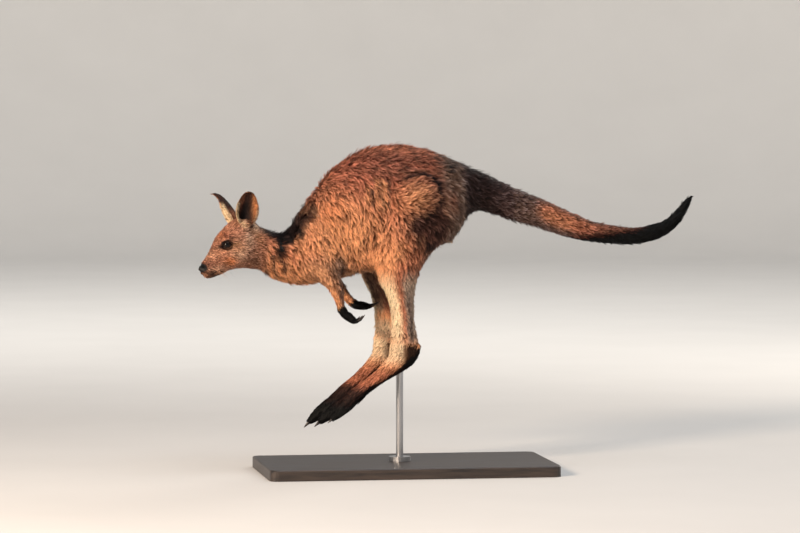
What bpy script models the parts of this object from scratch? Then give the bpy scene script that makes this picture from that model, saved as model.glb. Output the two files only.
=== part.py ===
"""A leaping eastern grey kangaroo, young and life size, held by a rod over a flat stand.

The animal faces -X with its left side towards -Y. The origin is the middle of the underside of
the stand's board. The body is lofted through named sections, remeshed into one skin and then
parted with thin cuts into the pieces that a person would name.
"""

import math

import bmesh
import bpy
import numpy as np
from mathutils import Matrix, Vector

MM = 0.001
GAP = 0.35  # clearance between neighbouring pieces, in mm

# Stand, in mm
BOARD_LENGTH, BOARD_WIDTH, BOARD_THICKNESS = 640, 340, 24
BOARD_CORNER, BOARD_EDGE = 18, 2
ROD_X, ROD_RADIUS = -12, 8
ROD_DEPTH_IN_BODY = 45
COLLAR_RADIUS, COLLAR_HEIGHT = 24, 10

# Head
HEAD_TURN = math.radians(11)  # towards the animal's left
TURN_START, TURN_END = -250, -345  # the neck bends between these stations
EYE = (-408, 26, 506)
EYE_RADIUS = 12
EAR_LENGTH = {"l": 75, "r": 86}
EAR_WIDTH = 50
EAR_SHELL = 2.4

# Limbs
HIND_SPREAD = 60  # each hind leg's centre, sideways from the middle
HIND_STAGGER = 19  # the right leg hangs this much further forward
TOE_IN = 5.5  # degrees that each foot turns towards the middle
FOOT_PITCH = {"l": 0, "r": 2.5}  # degrees that each foot hangs steeper than as drawn
ANKLE = (-8, 0, 272)  # each foot turns about this point, sideways from its leg
CLAW_SIDES = 6

# Each row is one slice: upper point (x, z), lower point (x, z), half width, all in mm.
TRUNK = [
    (-352, 548, -350, 468, 30),  # inside the back of the skull
    (-318, 543, -322, 446, 38),  # throat
    (-288, 531, -290, 426, 44),  # dip of the nape
    (-262, 537, -254, 417, 52),
    (-236, 574, -212, 415, 57),  # shoulders
    (-188, 645, -142, 429, 69),
    (-144, 685, -100, 440, 79),
    (-88, 714, -60, 442, 87),
    (-22, 723, -16, 454, 92),  # highest point of the back
    (34, 716, 36, 476, 90),
    (78, 701, 82, 506, 80),
    (112, 686, 118, 528, 64),
    (140, 673, 137, 562, 50),
    (167, 661, 156, 574, 40),  # root of the tail
]
TAIL = [
    (140, 673, 137, 562, 48),
    (167, 661, 156, 574, 40),
    (212, 641, 198, 566, 34),
    (256, 621, 243, 550, 30),
    (312, 598, 301, 535, 27),
    (368, 573, 356, 516, 24),
    (420, 551, 410, 504, 20),
    (464, 542, 456, 500, 18),
    (508, 536, 509, 497, 17.5),
    (548, 541, 562, 507, 16.5),
    (587, 554, 604, 529, 14),
    (616, 582, 633, 568, 10.5),
    (637, 607, 649, 600, 6),
]
HEAD = [
    (-459, 463, -455, 440, 10),  # tip of the nose
    (-457, 469, -450, 434, 14.5),
    (-450, 478, -443, 431, 17.5),
    (-443, 488, -429, 434, 20),
    (-435, 505, -413, 441, 24.5),
    (-425, 522, -398, 449, 31),  # eyes
    (-413, 535, -381, 453, 36.5),
    (-399, 549, -365, 454, 39.5),  # cheeks
    (-381, 561, -351, 452, 39),
    (-360, 563, -339, 450, 37),
    (-338, 555, -328, 449, 37),
    (-312, 543, -314, 440, 38),  # runs on into the neck
]
# Front point (x, z), rear point (x, z), half width of a hind leg, from the hip down
LEG = [
    (-6, 632, 66, 632, 34),
    (-46, 606, 100, 608, 50),
    (-62, 566, 120, 566, 57),  # haunch
    (-74, 516, 100, 522, 54),
    (-79, 478, 52, 489, 44),
    (-76, 450, 26, 450, 35),
    (-66, 421, 16, 421, 28),
    (-50, 390, 12, 390, 23),
    (-42, 357, 12, 357, 20.5),
    (-40, 318, 16, 318, 19),
    (-42, 286, 20, 288, 18.5),
    (-46, 262, 24, 268, 18),  # hock
    (-44, 246, 10, 248, 16),
]
# Upper point (x, z), lower point (x, z), half width of a hind foot, from the heel to the toes
FOOT = [
    (13, 290, 21, 268, 9),
    (2, 294, 19, 256, 14.5),
    (-22, 287, 6, 240, 18),
    (-44, 261, -16, 225, 18),
    (-67, 235, -48, 207, 16.5),
    (-91, 214, -76, 189, 16),
    (-115, 197, -98, 170, 18),
    (-138, 179, -121, 146, 21),
    (-155, 163, -140, 131, 22),
    (-165, 152, -154, 125, 18),
]
# Centre (x, y, z), half depth, half width along each arm, for the left and the right one
ARM = {
    "l": [
        (-212, -37, 496, 34, 20),  # shoulder
        (-198, -50, 470, 31, 19),
        (-172, -54, 432, 23, 17),  # elbow
        (-159, -53, 408, 16, 14),
        (-152, -46, 382, 11, 11.5),
        (-148, -41, 366, 9, 11),  # wrist
        (-140, -38, 352, 9, 12),
    ],
    "r": [
        (-208, 37, 496, 34, 20),
        (-190, 50, 470, 31, 19),
        (-162, 54, 430, 24, 17),
        (-146, 54, 412, 18, 14.5),
        (-128, 44, 390, 11.5, 11.5),
        (-115, 37, 375, 9, 11),
        (-104, 33, 367, 9, 12),
    ],
}
# Centre (x, outwards from the foot's middle, z), half depth, half width along each toe
TOES = {
    "4": [(-148, 0, 150, 18, 13), (-172, 0, 135, 14.5, 12), (-187, 0, 124, 11.5, 11), (-194, 0, 119, 9.5, 9)],
    "5": [(-138, 15, 148, 12, 8), (-156, 18, 134, 10, 7.5), (-168, 19, 125, 8, 6.5)],
    "23": [(-120, -15, 164, 8, 7), (-142, -16, 148, 7, 6.5), (-157, -16, 137, 5.5, 5.5)],
}
# Root (x, outwards, z), direction and bend in degrees, length and radius of each toe's claw
TOE_CLAWS = {
    "4": dict(root=(-189, 0, 122), direction=215, bend=14, length=26, radius=6.2),
    "5": dict(root=(-165, 19, 128), direction=216, bend=14, length=20, radius=4.4),
    "23": dict(root=(-154, -16, 139), direction=212, bend=14, length=14, radius=3.2),
}
FINGER_CLAW = dict(length=13, radius=2.5, bend=24)
HAND_LENGTH = 22
FINGER_LENGTH = 22
FINGER_RADIUS, FINGERTIP_RADIUS = 4.6, 3.6
FINGER_SPREAD = 12  # from the middle finger to the outermost, across the palm
HAND_PITCH = {"l": -34, "r": -6}  # degrees that each palm points below straight back
FINGER_CURL = {"l": 92, "r": 34}  # degrees that each finger bends up along its length


# ---------- meshes ----------


def new_object(name, verts, faces):
    """An object from points in mm, closed, with its faces pointing out."""
    mesh = bpy.data.meshes.new(name)
    mesh.from_pydata([tuple(c * MM for c in v) for v in verts], [], faces)
    bm = bmesh.new()
    bm.from_mesh(mesh)
    bmesh.ops.recalc_face_normals(bm, faces=bm.faces)
    bm.to_mesh(mesh)
    bm.free()
    obj = bpy.data.objects.new(name, mesh)
    bpy.context.scene.collection.objects.link(obj)
    return obj


def smooth_rows(rows, steps):
    """Rows between the given ones, on a Catmull-Rom curve through them."""
    rows = np.array(rows, float)
    ends = np.vstack([2 * rows[0] - rows[1], rows, 2 * rows[-1] - rows[-2]])
    made = []
    for i in range(1, len(ends) - 2):
        a, b, c, d = ends[i - 1 : i + 3]
        for t in np.linspace(0, 1, steps, endpoint=False):
            bend = (2 * a - 5 * b + 4 * c - d) * t**2 + (3 * b - a - 3 * c + d) * t**3
            made.append(b + 0.5 * ((c - a) * t + bend))
    made.append(rows[-1])
    return np.array(made)


def rounded(centres, ups, sides):
    """Adds rings at both ends that close a tube with a dome."""

    def dome(at, out, up, side):
        reach = 0.5 * (np.linalg.norm(up) + np.linalg.norm(side))
        angles = np.radians([30, 55, 75])
        return [(at + out * reach * math.sin(a), up * math.cos(a), side * math.cos(a)) for a in angles]

    rings = list(zip(centres, ups, sides))
    first = centres[0] - centres[1]
    last = centres[-1] - centres[-2]
    start = dome(centres[0], first / np.linalg.norm(first), ups[0], sides[0])
    end = dome(centres[-1], last / np.linalg.norm(last), ups[-1], sides[-1])
    return start[::-1] + rings + end


def tube(name, rings, around=32, fullness=1.0):
    """A closed tube through rings of (centre, up axis, side axis); fullness under 1 squares it."""
    verts, faces = [], []
    for centre, up, side in rings:
        for k in range(around):
            c, s = math.cos(2 * math.pi * k / around), math.sin(2 * math.pi * k / around)
            c = math.copysign(abs(c) ** fullness, c)
            s = math.copysign(abs(s) ** fullness, s)
            verts.append(centre + up * c + side * s)
    for r in range(len(rings) - 1):
        for k in range(around):
            n = (k + 1) % around
            faces.append((r * around + k, r * around + n, (r + 1) * around + n, (r + 1) * around + k))
    faces.append(tuple(range(around)))
    faces.append(tuple(range((len(rings) - 1) * around, len(rings) * around)))
    return new_object(name, verts, faces)


def slice_tube(name, rows, y=0.0, shift_x=0.0, steps=4, fullness=1.0):
    """A tube through slices given by their two outer points in the XZ plane and a half width."""
    rows = smooth_rows(rows, steps)
    one = np.stack([rows[:, 0] + shift_x, np.full(len(rows), y), rows[:, 1]], 1)
    two = np.stack([rows[:, 2] + shift_x, np.full(len(rows), y), rows[:, 3]], 1)
    sides = np.zeros_like(one)
    sides[:, 1] = rows[:, 4]
    return tube(name, rounded((one + two) / 2, (one - two) / 2, sides), fullness=fullness)


def path_tube(name, rows, steps=4, around=20):
    """A tube along a path of (x, y, z, half depth, half width); its width lies near Y."""
    rows = smooth_rows(rows, steps)
    centres = rows[:, :3]
    along = np.gradient(centres, axis=0)
    along /= np.linalg.norm(along, axis=1, keepdims=True)
    depth = np.cross(along, (0, 1, 0))
    depth /= np.linalg.norm(depth, axis=1, keepdims=True)
    width = np.cross(depth, along)
    rings = rounded(centres, depth * rows[:, 3:4], width * rows[:, 4:5])
    return tube(name, rings, around)


def ellipsoid(name, centre, radii, pitch=0.0, yaw=0.0, segments=28):
    """pitch turns it about Y and yaw about Z, both in degrees."""
    bm = bmesh.new()
    bmesh.ops.create_uvsphere(bm, u_segments=segments, v_segments=segments // 2, radius=1)
    turn = Matrix.Rotation(math.radians(yaw), 4, "Z") @ Matrix.Rotation(math.radians(pitch), 4, "Y")
    bmesh.ops.transform(bm, verts=bm.verts, matrix=turn @ Matrix.Diagonal((*radii, 1)))
    verts = [v.co + Vector(centre) for v in bm.verts]
    faces = [[v.index for v in f.verts] for f in bm.faces]
    bm.free()
    return new_object(name, verts, faces)


def block(name, outline, y_low, y_high):
    """A slab with the given outline in the XZ plane, between two values of y."""
    n = len(outline)
    verts = [(x, y_low, z) for x, z in outline] + [(x, y_high, z) for x, z in outline]
    faces = [tuple(range(n)), tuple(range(n, 2 * n))]
    faces += [(k, (k + 1) % n, n + (k + 1) % n, n + k) for k in range(n)]
    return new_object(name, verts, faces)


def grown(outline, by):
    """The outline moved outwards by a distance, for one whose points run in order."""
    points = np.array(outline, float)
    before, after = np.roll(points, 1, 0), np.roll(points, -1, 0)
    turn = np.cross(points - before, after - points).sum()
    edges = [points - before, after - points]
    normals = [np.stack([e[:, 1], -e[:, 0]], 1) / np.linalg.norm(e, axis=1, keepdims=True) for e in edges]
    middle = (normals[0] + normals[1]) * (1 if turn > 0 else -1)
    length = (middle * normals[0]).sum(1, keepdims=True) * (1 if turn > 0 else -1)
    return points + middle / length * by


def bake(obj):
    """Replaces the object's mesh with what its modifiers make of it."""
    graph = bpy.context.evaluated_depsgraph_get()
    mesh = bpy.data.meshes.new_from_object(obj.evaluated_get(graph))
    obj.modifiers.clear()
    old = obj.data
    obj.data = mesh
    bpy.data.meshes.remove(old)
    return obj


def remove(*objects):
    for obj in objects:
        bpy.data.objects.remove(obj)


def boolean(obj, cutter, operation):
    cutter.hide_render = True
    cutter.display_type = "WIRE"
    modifier = obj.modifiers.new(operation.title(), "BOOLEAN")
    modifier.object = cutter
    modifier.operation = operation
    return bake(obj)


def copy_of(obj, name):
    new = bpy.data.objects.new(name, obj.data.copy())
    bpy.context.scene.collection.objects.link(new)
    return new


def merged(name, pieces, voxel, smoothing, triangles):
    """One skin over overlapping closed pieces: remeshed, smoothed and thinned out."""
    bm = bmesh.new()
    for piece in pieces:
        bm.from_mesh(piece.data)
    mesh = bpy.data.meshes.new(name)
    bm.to_mesh(mesh)
    bm.free()
    remove(*pieces)
    obj = bpy.data.objects.new(name, mesh)
    bpy.context.scene.collection.objects.link(obj)
    remesh = obj.modifiers.new("Remesh", "REMESH")
    remesh.mode = "VOXEL"
    remesh.voxel_size = voxel * MM
    smooth = obj.modifiers.new("Smooth", "SMOOTH")
    smooth.factor = 0.5
    smooth.iterations = smoothing
    bake(obj)
    thin = obj.modifiers.new("Decimate", "DECIMATE")
    thin.ratio = triangles / (2 * len(obj.data.polygons))
    return bake(obj)


def drop_crumbs(obj):
    """Keeps only the largest connected part of a mesh."""
    bm = bmesh.new()
    bm.from_mesh(obj.data)
    left = set(bm.verts)
    parts = []
    while left:
        todo = [left.pop()]
        part = []
        while todo:
            vert = todo.pop()
            part.append(vert)
            near = {e.other_vert(vert) for e in vert.link_edges} & left
            left -= near
            todo += near
        parts.append(part)
    parts.sort(key=len)
    for part in parts[:-1]:
        bmesh.ops.delete(bm, geom=part, context="VERTS")
    bm.to_mesh(obj.data)
    bm.free()


def take(body, name, outline, y_low, y_high):
    """Cuts the named piece out of the body, with a thin gap round it."""
    piece = copy_of(body, name)
    region = block("cutter", outline, y_low, y_high)
    boolean(piece, region, "INTERSECT")
    wide = block("cutter_wide", grown(outline, GAP), y_low - GAP, y_high + GAP)
    boolean(body, wide, "DIFFERENCE")
    remove(region, wide)
    return piece


# ---------- head turn ----------


def turn_head(obj):
    """Bends the neck sideways: nothing behind TURN_START moves, all before TURN_END turns fully."""
    for v in obj.data.vertices:
        share = (TURN_START - v.co.x / MM) / (TURN_START - TURN_END)
        share = min(max(share, 0), 1)
        angle = HEAD_TURN * share * share * (3 - 2 * share)
        dx, y = v.co.x - TURN_START * MM, v.co.y
        v.co.x = TURN_START * MM + dx * math.cos(angle) - y * math.sin(angle)
        v.co.y = dx * math.sin(angle) + y * math.cos(angle)
    return obj


# ---------- body ----------


def body_pieces():
    pieces = [
        slice_tube("trunk", TRUNK, fullness=0.94),
        slice_tube("tail", TAIL),
        ellipsoid("shoulder_l", (-196, -46, 500), (52, 26, 82), pitch=-22),
        ellipsoid("shoulder_r", (-192, 46, 500), (52, 26, 82), pitch=-22),
        ellipsoid("vent", (93, 0, 514), (14, 13, 11)),
    ]
    for side, sign in (("l", -1), ("r", 1)):
        shift = 0 if side == "l" else -HIND_STAGGER
        y = sign * HIND_SPREAD
        pieces.append(slice_tube("leg_" + side, LEG, y, shift))
        pieces.append(ellipsoid("haunch_" + side, (22 + shift, sign * 66, 590), (84, 50, 76), pitch=12))
        pieces.append(path_tube("arm_" + side, ARM[side]))
    return pieces


def outwards(point, sign):
    """A foot's own (x, outwards, z) as (x, y, z) on its leg."""
    x, out, z = point
    return x, sign * (HIND_SPREAD + out), z


def foot_pieces(side, sign):
    """A hind foot: the long middle toe, the shorter outer toe and the two thin joined inner toes."""
    y = sign * HIND_SPREAD
    pieces = [slice_tube("sole", FOOT, y), slice_tube("ankle", LEG[-4:], y)]
    for toe, rows in TOES.items():
        path = [(*outwards(row[:3], sign), *row[3:]) for row in rows]
        pieces.append(path_tube("toe_" + toe, path))
    for piece in pieces:
        piece.data.transform(foot_pose(side, sign))
    return pieces


def foot_pose(side, sign):
    """Moves a foot from where it is drawn to how it hangs: steeper, turned in and set forward."""
    shift = 0 if side == "l" else -HIND_STAGGER
    ankle = Vector(ANKLE) * MM + Vector((0, sign * HIND_SPREAD * MM, 0))
    pitch = Matrix.Rotation(math.radians(-FOOT_PITCH[side]), 4, "Y")
    yaw = Matrix.Rotation(math.radians(sign * TOE_IN), 4, "Z")
    away = Matrix.Translation(Vector((shift * MM, 0, 0)))
    return away @ Matrix.Translation(ankle) @ yaw @ pitch @ Matrix.Translation(-ankle)


def bent_path(start, direction, length, curl, steps=4):
    """A finger that starts along a direction (degrees up from +X) and curls upwards."""
    rows = []
    at = np.array(start, float)
    for t in np.linspace(0, 1, steps + 1):
        radius = FINGER_RADIUS + (FINGERTIP_RADIUS - FINGER_RADIUS) * t
        rows.append((*at, radius, radius))
        angle = math.radians(direction + curl * t)
        at = at + length / steps * np.array([math.cos(angle), 0, math.sin(angle)])
    return rows


def finger_paths(side, sign):
    """The paths of five fingers that fan out from the knuckles; the middle one is longest."""
    wrist = np.array(ARM[side][-1][:3], float)
    pitch = math.radians(HAND_PITCH[side])
    knuckle = wrist + HAND_LENGTH * np.array([math.cos(pitch), 0, math.sin(pitch)])
    paths = []
    for share in np.linspace(-1, 1, 5):
        out = abs(share)
        start = knuckle + np.array([-5 * out, sign * share * FINGER_SPREAD, 2 - 4 * out])
        length = FINGER_LENGTH * (1 - 0.22 * out)
        paths.append(bent_path(start, HAND_PITCH[side], length, FINGER_CURL[side]))
    return wrist, knuckle, paths


def hand_pieces(side, sign):
    wrist, knuckle, paths = finger_paths(side, sign)
    palm = [
        (*wrist, 8.5, 12),
        (*(wrist + (knuckle - wrist) * 0.5), 9, 14),
        (*(wrist + (knuckle - wrist) * 0.9), 8, 15),
    ]
    pieces = [path_tube("palm", palm), path_tube("cuff", ARM[side][-3:])]
    return pieces + [path_tube("finger", path, around=12) for path in paths]


# ---------- claws, eyes, ears, stand ----------


def claw(name, root, direction, length, radius, bend, swell=0.0, pose=None):
    """A curved tapering claw. Direction is degrees up from +X; swell makes the wider cutter."""
    rings = []
    steps = 4
    at = np.array(root, float)
    for k in range(steps + 1):
        t = k / steps
        angle = math.radians(direction + bend * t)
        along = np.array([math.cos(angle), 0, math.sin(angle)])
        up = np.array([-math.sin(angle), 0, math.cos(angle)])
        r = radius * (1 - t) ** 0.8 + 0.35 + swell
        start = at - along * swell if k == 0 else at
        rings.append((start, up * r, np.array([0, r * 0.75, 0])))
        at = at + along * length / steps
    made = tube(name, rings, CLAW_SIDES)
    if pose:
        made.data.transform(pose)
    return made


def foot_claws(side, sign):
    """Settings of the three claws of a hind foot, by name."""
    made = {}
    for toe, settings in TOE_CLAWS.items():
        made[f"claw_toe_{toe}_{side}"] = settings | dict(
            root=outwards(settings["root"], sign), pose=foot_pose(side, sign)
        )
    return made


def hand_claws(side, sign):
    """Settings of the five claws of a hand, by name; each grows out of its fingertip."""
    made = {}
    direction = HAND_PITCH[side] + FINGER_CURL[side] * 0.8
    for number, path in enumerate(finger_paths(side, sign)[2], 1):
        root = np.array(path[-1][:3]) * 0.7 + np.array(path[-2][:3]) * 0.3
        made[f"claw_finger_{number}_{side}"] = dict(FINGER_CLAW, root=root, direction=direction)
    return made


def ear_axes(side):
    """Root, long axis and facing of each ear: the left one is turned out, the right one forward."""
    if side == "l":
        return (-364, -22, 550), Vector((0.03, -0.30, 1.0)), Vector((-0.30, -1.0, -0.1))
    return (-370, 22, 550), Vector((-0.86, 0.34, 1.08)), Vector((-0.95, 0.42, -0.4))


def ear(name, side):
    """A cupped leaf on a solid stem; its hollow opens along the facing axis."""
    root, axis, facing = ear_axes(side)
    root = np.array(root, float)
    axis = axis.normalized()
    across = axis.cross(facing).normalized()
    facing = across.cross(axis)
    axis, across, facing = (np.array(v) for v in (axis, across, facing))

    n = 9

    def ring(t, inner):
        """One cross line of the shell, from rim to rim, at height t of the ear."""
        width = max(EAR_WIDTH * min(0.42 + 1.75 * t, 1.0) * math.sqrt(max(1 - t**2.6, 0.012)), 5)
        half_angle = math.radians(118 - 74 * min(t * 1.25, 1))
        radius = width / 2 / math.sin(min(half_angle, math.pi / 2))
        shell = radius - (EAR_SHELL if inner else 0)
        centre = root + axis * EAR_LENGTH[side] * t + facing * radius * 0.35
        line = []
        for k in range(n):
            a = (2 * k / (n - 1) - 1) * half_angle
            line.append(centre + across * shell * math.sin(a) - facing * shell * math.cos(a))
        return line

    heights = [0, 0.12, 0.24, 0.4, 0.58, 0.74, 0.87, 0.96, 1.0]
    outer = [ring(t, False) for t in heights]
    inner = [ring(t, True) for t in heights[2:]]
    verts = [p for line in outer + inner for p in line]
    faces = []

    def strip(first, count):
        for r in range(count - 1):
            for k in range(n - 1):
                a = first + r * n + k
                faces.append((a, a + 1, a + n + 1, a + n))

    strip(0, len(outer))
    strip(len(outer) * n, len(inner))
    low = 2 * n
    inside = len(outer) * n
    for r in range(len(inner) - 1):
        for k in (0, n - 1):
            a, b = low + r * n + k, inside + r * n + k
            faces.append((a, a + n, b + n, b))
    top_out, top_in = (len(outer) - 1) * n, inside + (len(inner) - 1) * n
    for k in range(n - 1):
        faces.append((top_out + k, top_out + k + 1, top_in + k + 1, top_in + k))
    faces.append(tuple(range(inside, inside + n)) + (low + n - 1, n + n - 1, n - 1, 0, n, low))
    faces.append(tuple(range(n)))
    return new_object(name, verts, faces)


def ear_socket(side, reach=0.3):
    """The room that an ear's foot takes in the skull, as a hull of it grown by the gap."""
    foot = ear("cutter", side)
    root, axis, _ = ear_axes(side)
    root = Vector(root) * MM
    limit = reach * EAR_LENGTH[side] * MM
    near = [v.co.copy() for v in foot.data.vertices if (v.co - root).dot(axis.normalized()) < limit]
    bm = bmesh.new()
    for point in near:
        bm.verts.new(point)
    bmesh.ops.convex_hull(bm, input=bm.verts)
    bmesh.ops.delete(bm, geom=[v for v in bm.verts if not v.link_faces], context="VERTS")
    bmesh.ops.recalc_face_normals(bm, faces=bm.faces)
    bm.normal_update()
    for v in bm.verts:
        v.co += v.normal * GAP * 1.5 * MM
    bm.to_mesh(foot.data)
    bm.free()
    return foot


def stand():
    """A flat board with rounded corners, a rod up to the belly and a collar round its foot."""
    board = bmesh.new()
    bmesh.ops.create_cube(board, size=1)
    size = Matrix.Diagonal((BOARD_LENGTH * MM, BOARD_WIDTH * MM, BOARD_THICKNESS * MM, 1))
    bmesh.ops.transform(board, verts=board.verts, matrix=size)
    bmesh.ops.translate(board, verts=board.verts, vec=(0, 0, BOARD_THICKNESS / 2 * MM))
    upright = [e for e in board.edges if abs(e.verts[0].co.z - e.verts[1].co.z) > 0.5 * BOARD_THICKNESS * MM]
    bmesh.ops.bevel(board, geom=upright, offset=BOARD_CORNER * MM, segments=4, profile=0.5, affect="EDGES")
    rim = [e for e in board.edges if min(v.co.z for v in e.verts) > 0.99 * BOARD_THICKNESS * MM]
    bmesh.ops.bevel(board, geom=rim, offset=BOARD_EDGE * MM, segments=1, profile=0.5, affect="EDGES")
    mesh = bpy.data.meshes.new("stand_base")
    board.to_mesh(mesh)
    board.free()
    base = bpy.data.objects.new("stand_base", mesh)
    bpy.context.scene.collection.objects.link(base)
    top = BOARD_THICKNESS + GAP
    collar = round_bar("stand_collar", top, top + COLLAR_HEIGHT, COLLAR_RADIUS, 24)
    hole = round_bar("cutter", top - COLLAR_HEIGHT, top + 2 * COLLAR_HEIGHT, ROD_RADIUS + GAP)
    boolean(collar, hole, "DIFFERENCE")
    remove(hole)
    rod = round_bar("stand_rod", top, rod_top(), ROD_RADIUS)
    return [base, collar, rod]


def rod_top():
    """The rod ends this far inside the belly, whose underside is read from the trunk's slices."""
    under = sorted((row[2], row[3]) for row in TRUNK)
    return np.interp(ROD_X, *zip(*under)) + ROD_DEPTH_IN_BODY


def round_bar(name, low, high, radius, around=16):
    side, up = np.array([0.0, radius, 0]), np.array([float(radius), 0, 0])
    rings = [(np.array([ROD_X, 0.0, z]), up, side) for z in (low, high)]
    return tube(name, rings, around)


# ---------- materials ----------

# Start of a piece's name: base colour, roughness, metallic
FINISHES = {
    "stand_base": ((0.045, 0.045, 0.05), 0.5, 0.0),
    "stand_": ((0.45, 0.45, 0.46), 0.35, 1.0),
    "eye_": ((0.015, 0.010, 0.008), 0.08, 0.0),
    "claw_": ((0.020, 0.018, 0.016), 0.35, 0.0),
    "ear_": ((0.160, 0.090, 0.060), 0.9, 0.0),
    "hand_": ((0.030, 0.024, 0.022), 0.85, 0.0),
    "foot_": ((0.060, 0.040, 0.030), 0.85, 0.0),
    "tail_3": ((0.020, 0.015, 0.013), 0.9, 0.0),
    "": ((0.340, 0.200, 0.120), 0.9, 0.0),
}


def finish(obj):
    """Gives a piece its own material and smooth shading."""
    look = next(look for start, look in FINISHES.items() if obj.name.startswith(start))
    colour, roughness, metallic = look
    material = bpy.data.materials.new(obj.name)
    material.use_nodes = True
    shader = material.node_tree.nodes["Principled BSDF"]
    shader.inputs["Base Color"].default_value = (*colour, 1)
    shader.inputs["Roughness"].default_value = roughness
    shader.inputs["Metallic"].default_value = metallic
    obj.data.materials.clear()
    obj.data.materials.append(material)
    obj.data.shade_smooth()
    obj.data.set_sharp_from_angle(angle=math.radians(50))


# ---------- assembly ----------

FAR = 400
HAUNCH_OUTLINE = [
    (-72, 240), (90, 240), (90, 430), (122, 505), (134, 560), (118, 615), (84, 650),
    (38, 668), (-12, 662), (-52, 632), (-84, 570), (-105, 500), (-105, 445), (-82, 418),
]
ARM_OUTLINE = [
    (-250, 518), (-240, 470), (-215, 400), (-112, 400), (-118, 440),
    (-160, 500), (-180, 545), (-212, 562), (-240, 550),
]
FOREARM_OUTLINE = [(-215, 280), (-50, 280), (-50, 412), (-215, 412)]
NECK_CUT = [(-328, FAR * 2), (-338, 0)]  # line between head and neck, from high to low
NECK_BASE = [(-225, FAR * 2), (-262, 0)]  # line between neck and trunk
TAIL_CUTS = {"tail_3": (470, 4), "tail_2": (300, 28), "tail_1": (150, 40)}  # x, lean of each line
TRUNK_HALF = 27  # the haunches are cut off this far from the middle
ARM_HALF = 40  # and the upper arms this far


ANKLE_Z = 297


def foot_outline():
    """Everything below the ankle."""
    return [(-FAR, 0), (FAR, 0), (FAR, ANKLE_Z), (-FAR, ANKLE_Z)]


def hand_outline(side, reach=110, half=34):
    """A square that starts across the wrist and runs on past the hand."""
    a, w, b = (np.array(ARM[side][k])[[0, 2]].astype(float) for k in (-3, -2, -1))
    along = (b - a) / np.linalg.norm(b - a)
    across = np.array([-along[1], along[0]])
    low, high = w - across * half, w + across * half
    return [low, low + along * reach, high + along * reach, high]


def line_x(line, z):
    (x1, z1), (x2, z2) = line
    return x1 + (x2 - x1) * (z - z1) / (z2 - z1)


def ahead_of(line):
    """The outline of everything before a slanting line."""
    return [(-FAR * 2, 0), (line_x(line, 0), 0), (line_x(line, FAR * 2), FAR * 2), (-FAR * 2, FAR * 2)]


def tail_region(x, lean):
    """The outline of everything behind a line across the tail at x."""
    return [(x - lean, 300), (FAR * 2, 300), (FAR * 2, FAR * 2), (x + lean, FAR * 2)]


def cut_tail(body):
    made = []
    for name, (x, lean) in TAIL_CUTS.items():
        made.append(take(body, name, tail_region(x, lean), -FAR, FAR))
    return made


def trim(obj, outline, operation, y_low=-FAR, y_high=FAR):
    cutter = block("cutter", outline, y_low, y_high)
    boolean(obj, cutter, operation)
    remove(cutter)


def cut_limbs(body):
    """Parts each haunch, shank, upper arm and forearm from the trunk."""
    made = []
    trim(body, grown(foot_outline(), GAP), "DIFFERENCE")
    for side, sign in (("l", -1), ("r", 1)):
        shift = 0 if side == "l" else -HIND_STAGGER
        outline = [(x + shift, z) for x, z in HAUNCH_OUTLINE]
        inner, outer = sorted((sign * TRUNK_HALF, sign * FAR))
        leg = take(body, "thigh_" + side, outline, inner, outer)
        below_knee = [(-160 + shift, 200), (160 + shift, 200), (160 + shift, 445), (-160 + shift, 500)]
        made.append(take(leg, "shank_" + side, below_knee, -FAR, FAR))
        made.append(leg)
    for side, sign in (("l", -1), ("r", 1)):
        inner, outer = sorted((sign * 5, sign * FAR))
        trim(body, grown(hand_outline(side), GAP), "DIFFERENCE", inner, outer)
        made.append(take(body, "forearm_" + side, FOREARM_OUTLINE, inner, outer))
        inner, outer = sorted((sign * ARM_HALF, sign * FAR))
        made.append(take(body, "upper_arm_" + side, ARM_OUTLINE, inner, outer))
    return made


def build_head():
    pieces = [
        slice_tube("skull", HEAD, fullness=0.9),
        ellipsoid("cheek_l", (-372, -24, 486), (30, 17, 24), pitch=-20),
        ellipsoid("cheek_r", (-372, 24, 486), (30, 17, 24), pitch=-20),
        ellipsoid("brow_l", (-408, -20, 518), (20, 12, 10), pitch=-50),
        ellipsoid("brow_r", (-408, 20, 518), (20, 12, 10), pitch=-50),
    ]
    head = merged("head", pieces, voxel=2.6, smoothing=4, triangles=640)
    trim(head, ahead_of(NECK_CUT), "INTERSECT")
    made = [head]
    for side, sign in (("l", -1), ("r", 1)):
        centre = (EYE[0], sign * EYE[1], EYE[2])
        socket = ellipsoid("cutter", centre, (EYE_RADIUS + GAP,) * 3, segments=14)
        boolean(head, socket, "DIFFERENCE")
        remove(socket)
        eye = ellipsoid("eye_" + side, centre, (EYE_RADIUS,) * 3, segments=14)
        made.append(eye)
        made.append(ear("ear_" + side, side))
        socket = ear_socket(side)
        boolean(head, socket, "DIFFERENCE")
        remove(socket)
    return made


def build_paw(name, pieces, claws, voxel, triangles, outline):
    """A hand or a foot: remeshed on its own, trimmed at its joint and socketed for its claws."""
    paw = merged(name, pieces, voxel, 3, triangles)
    trim(paw, outline, "INTERSECT")
    made = [paw]
    for claw_name, settings in claws.items():
        made.append(claw(claw_name, **settings))
        socket = claw("cutter", swell=GAP, **settings)
        boolean(paw, socket, "DIFFERENCE")
        remove(socket)
    return made


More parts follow.
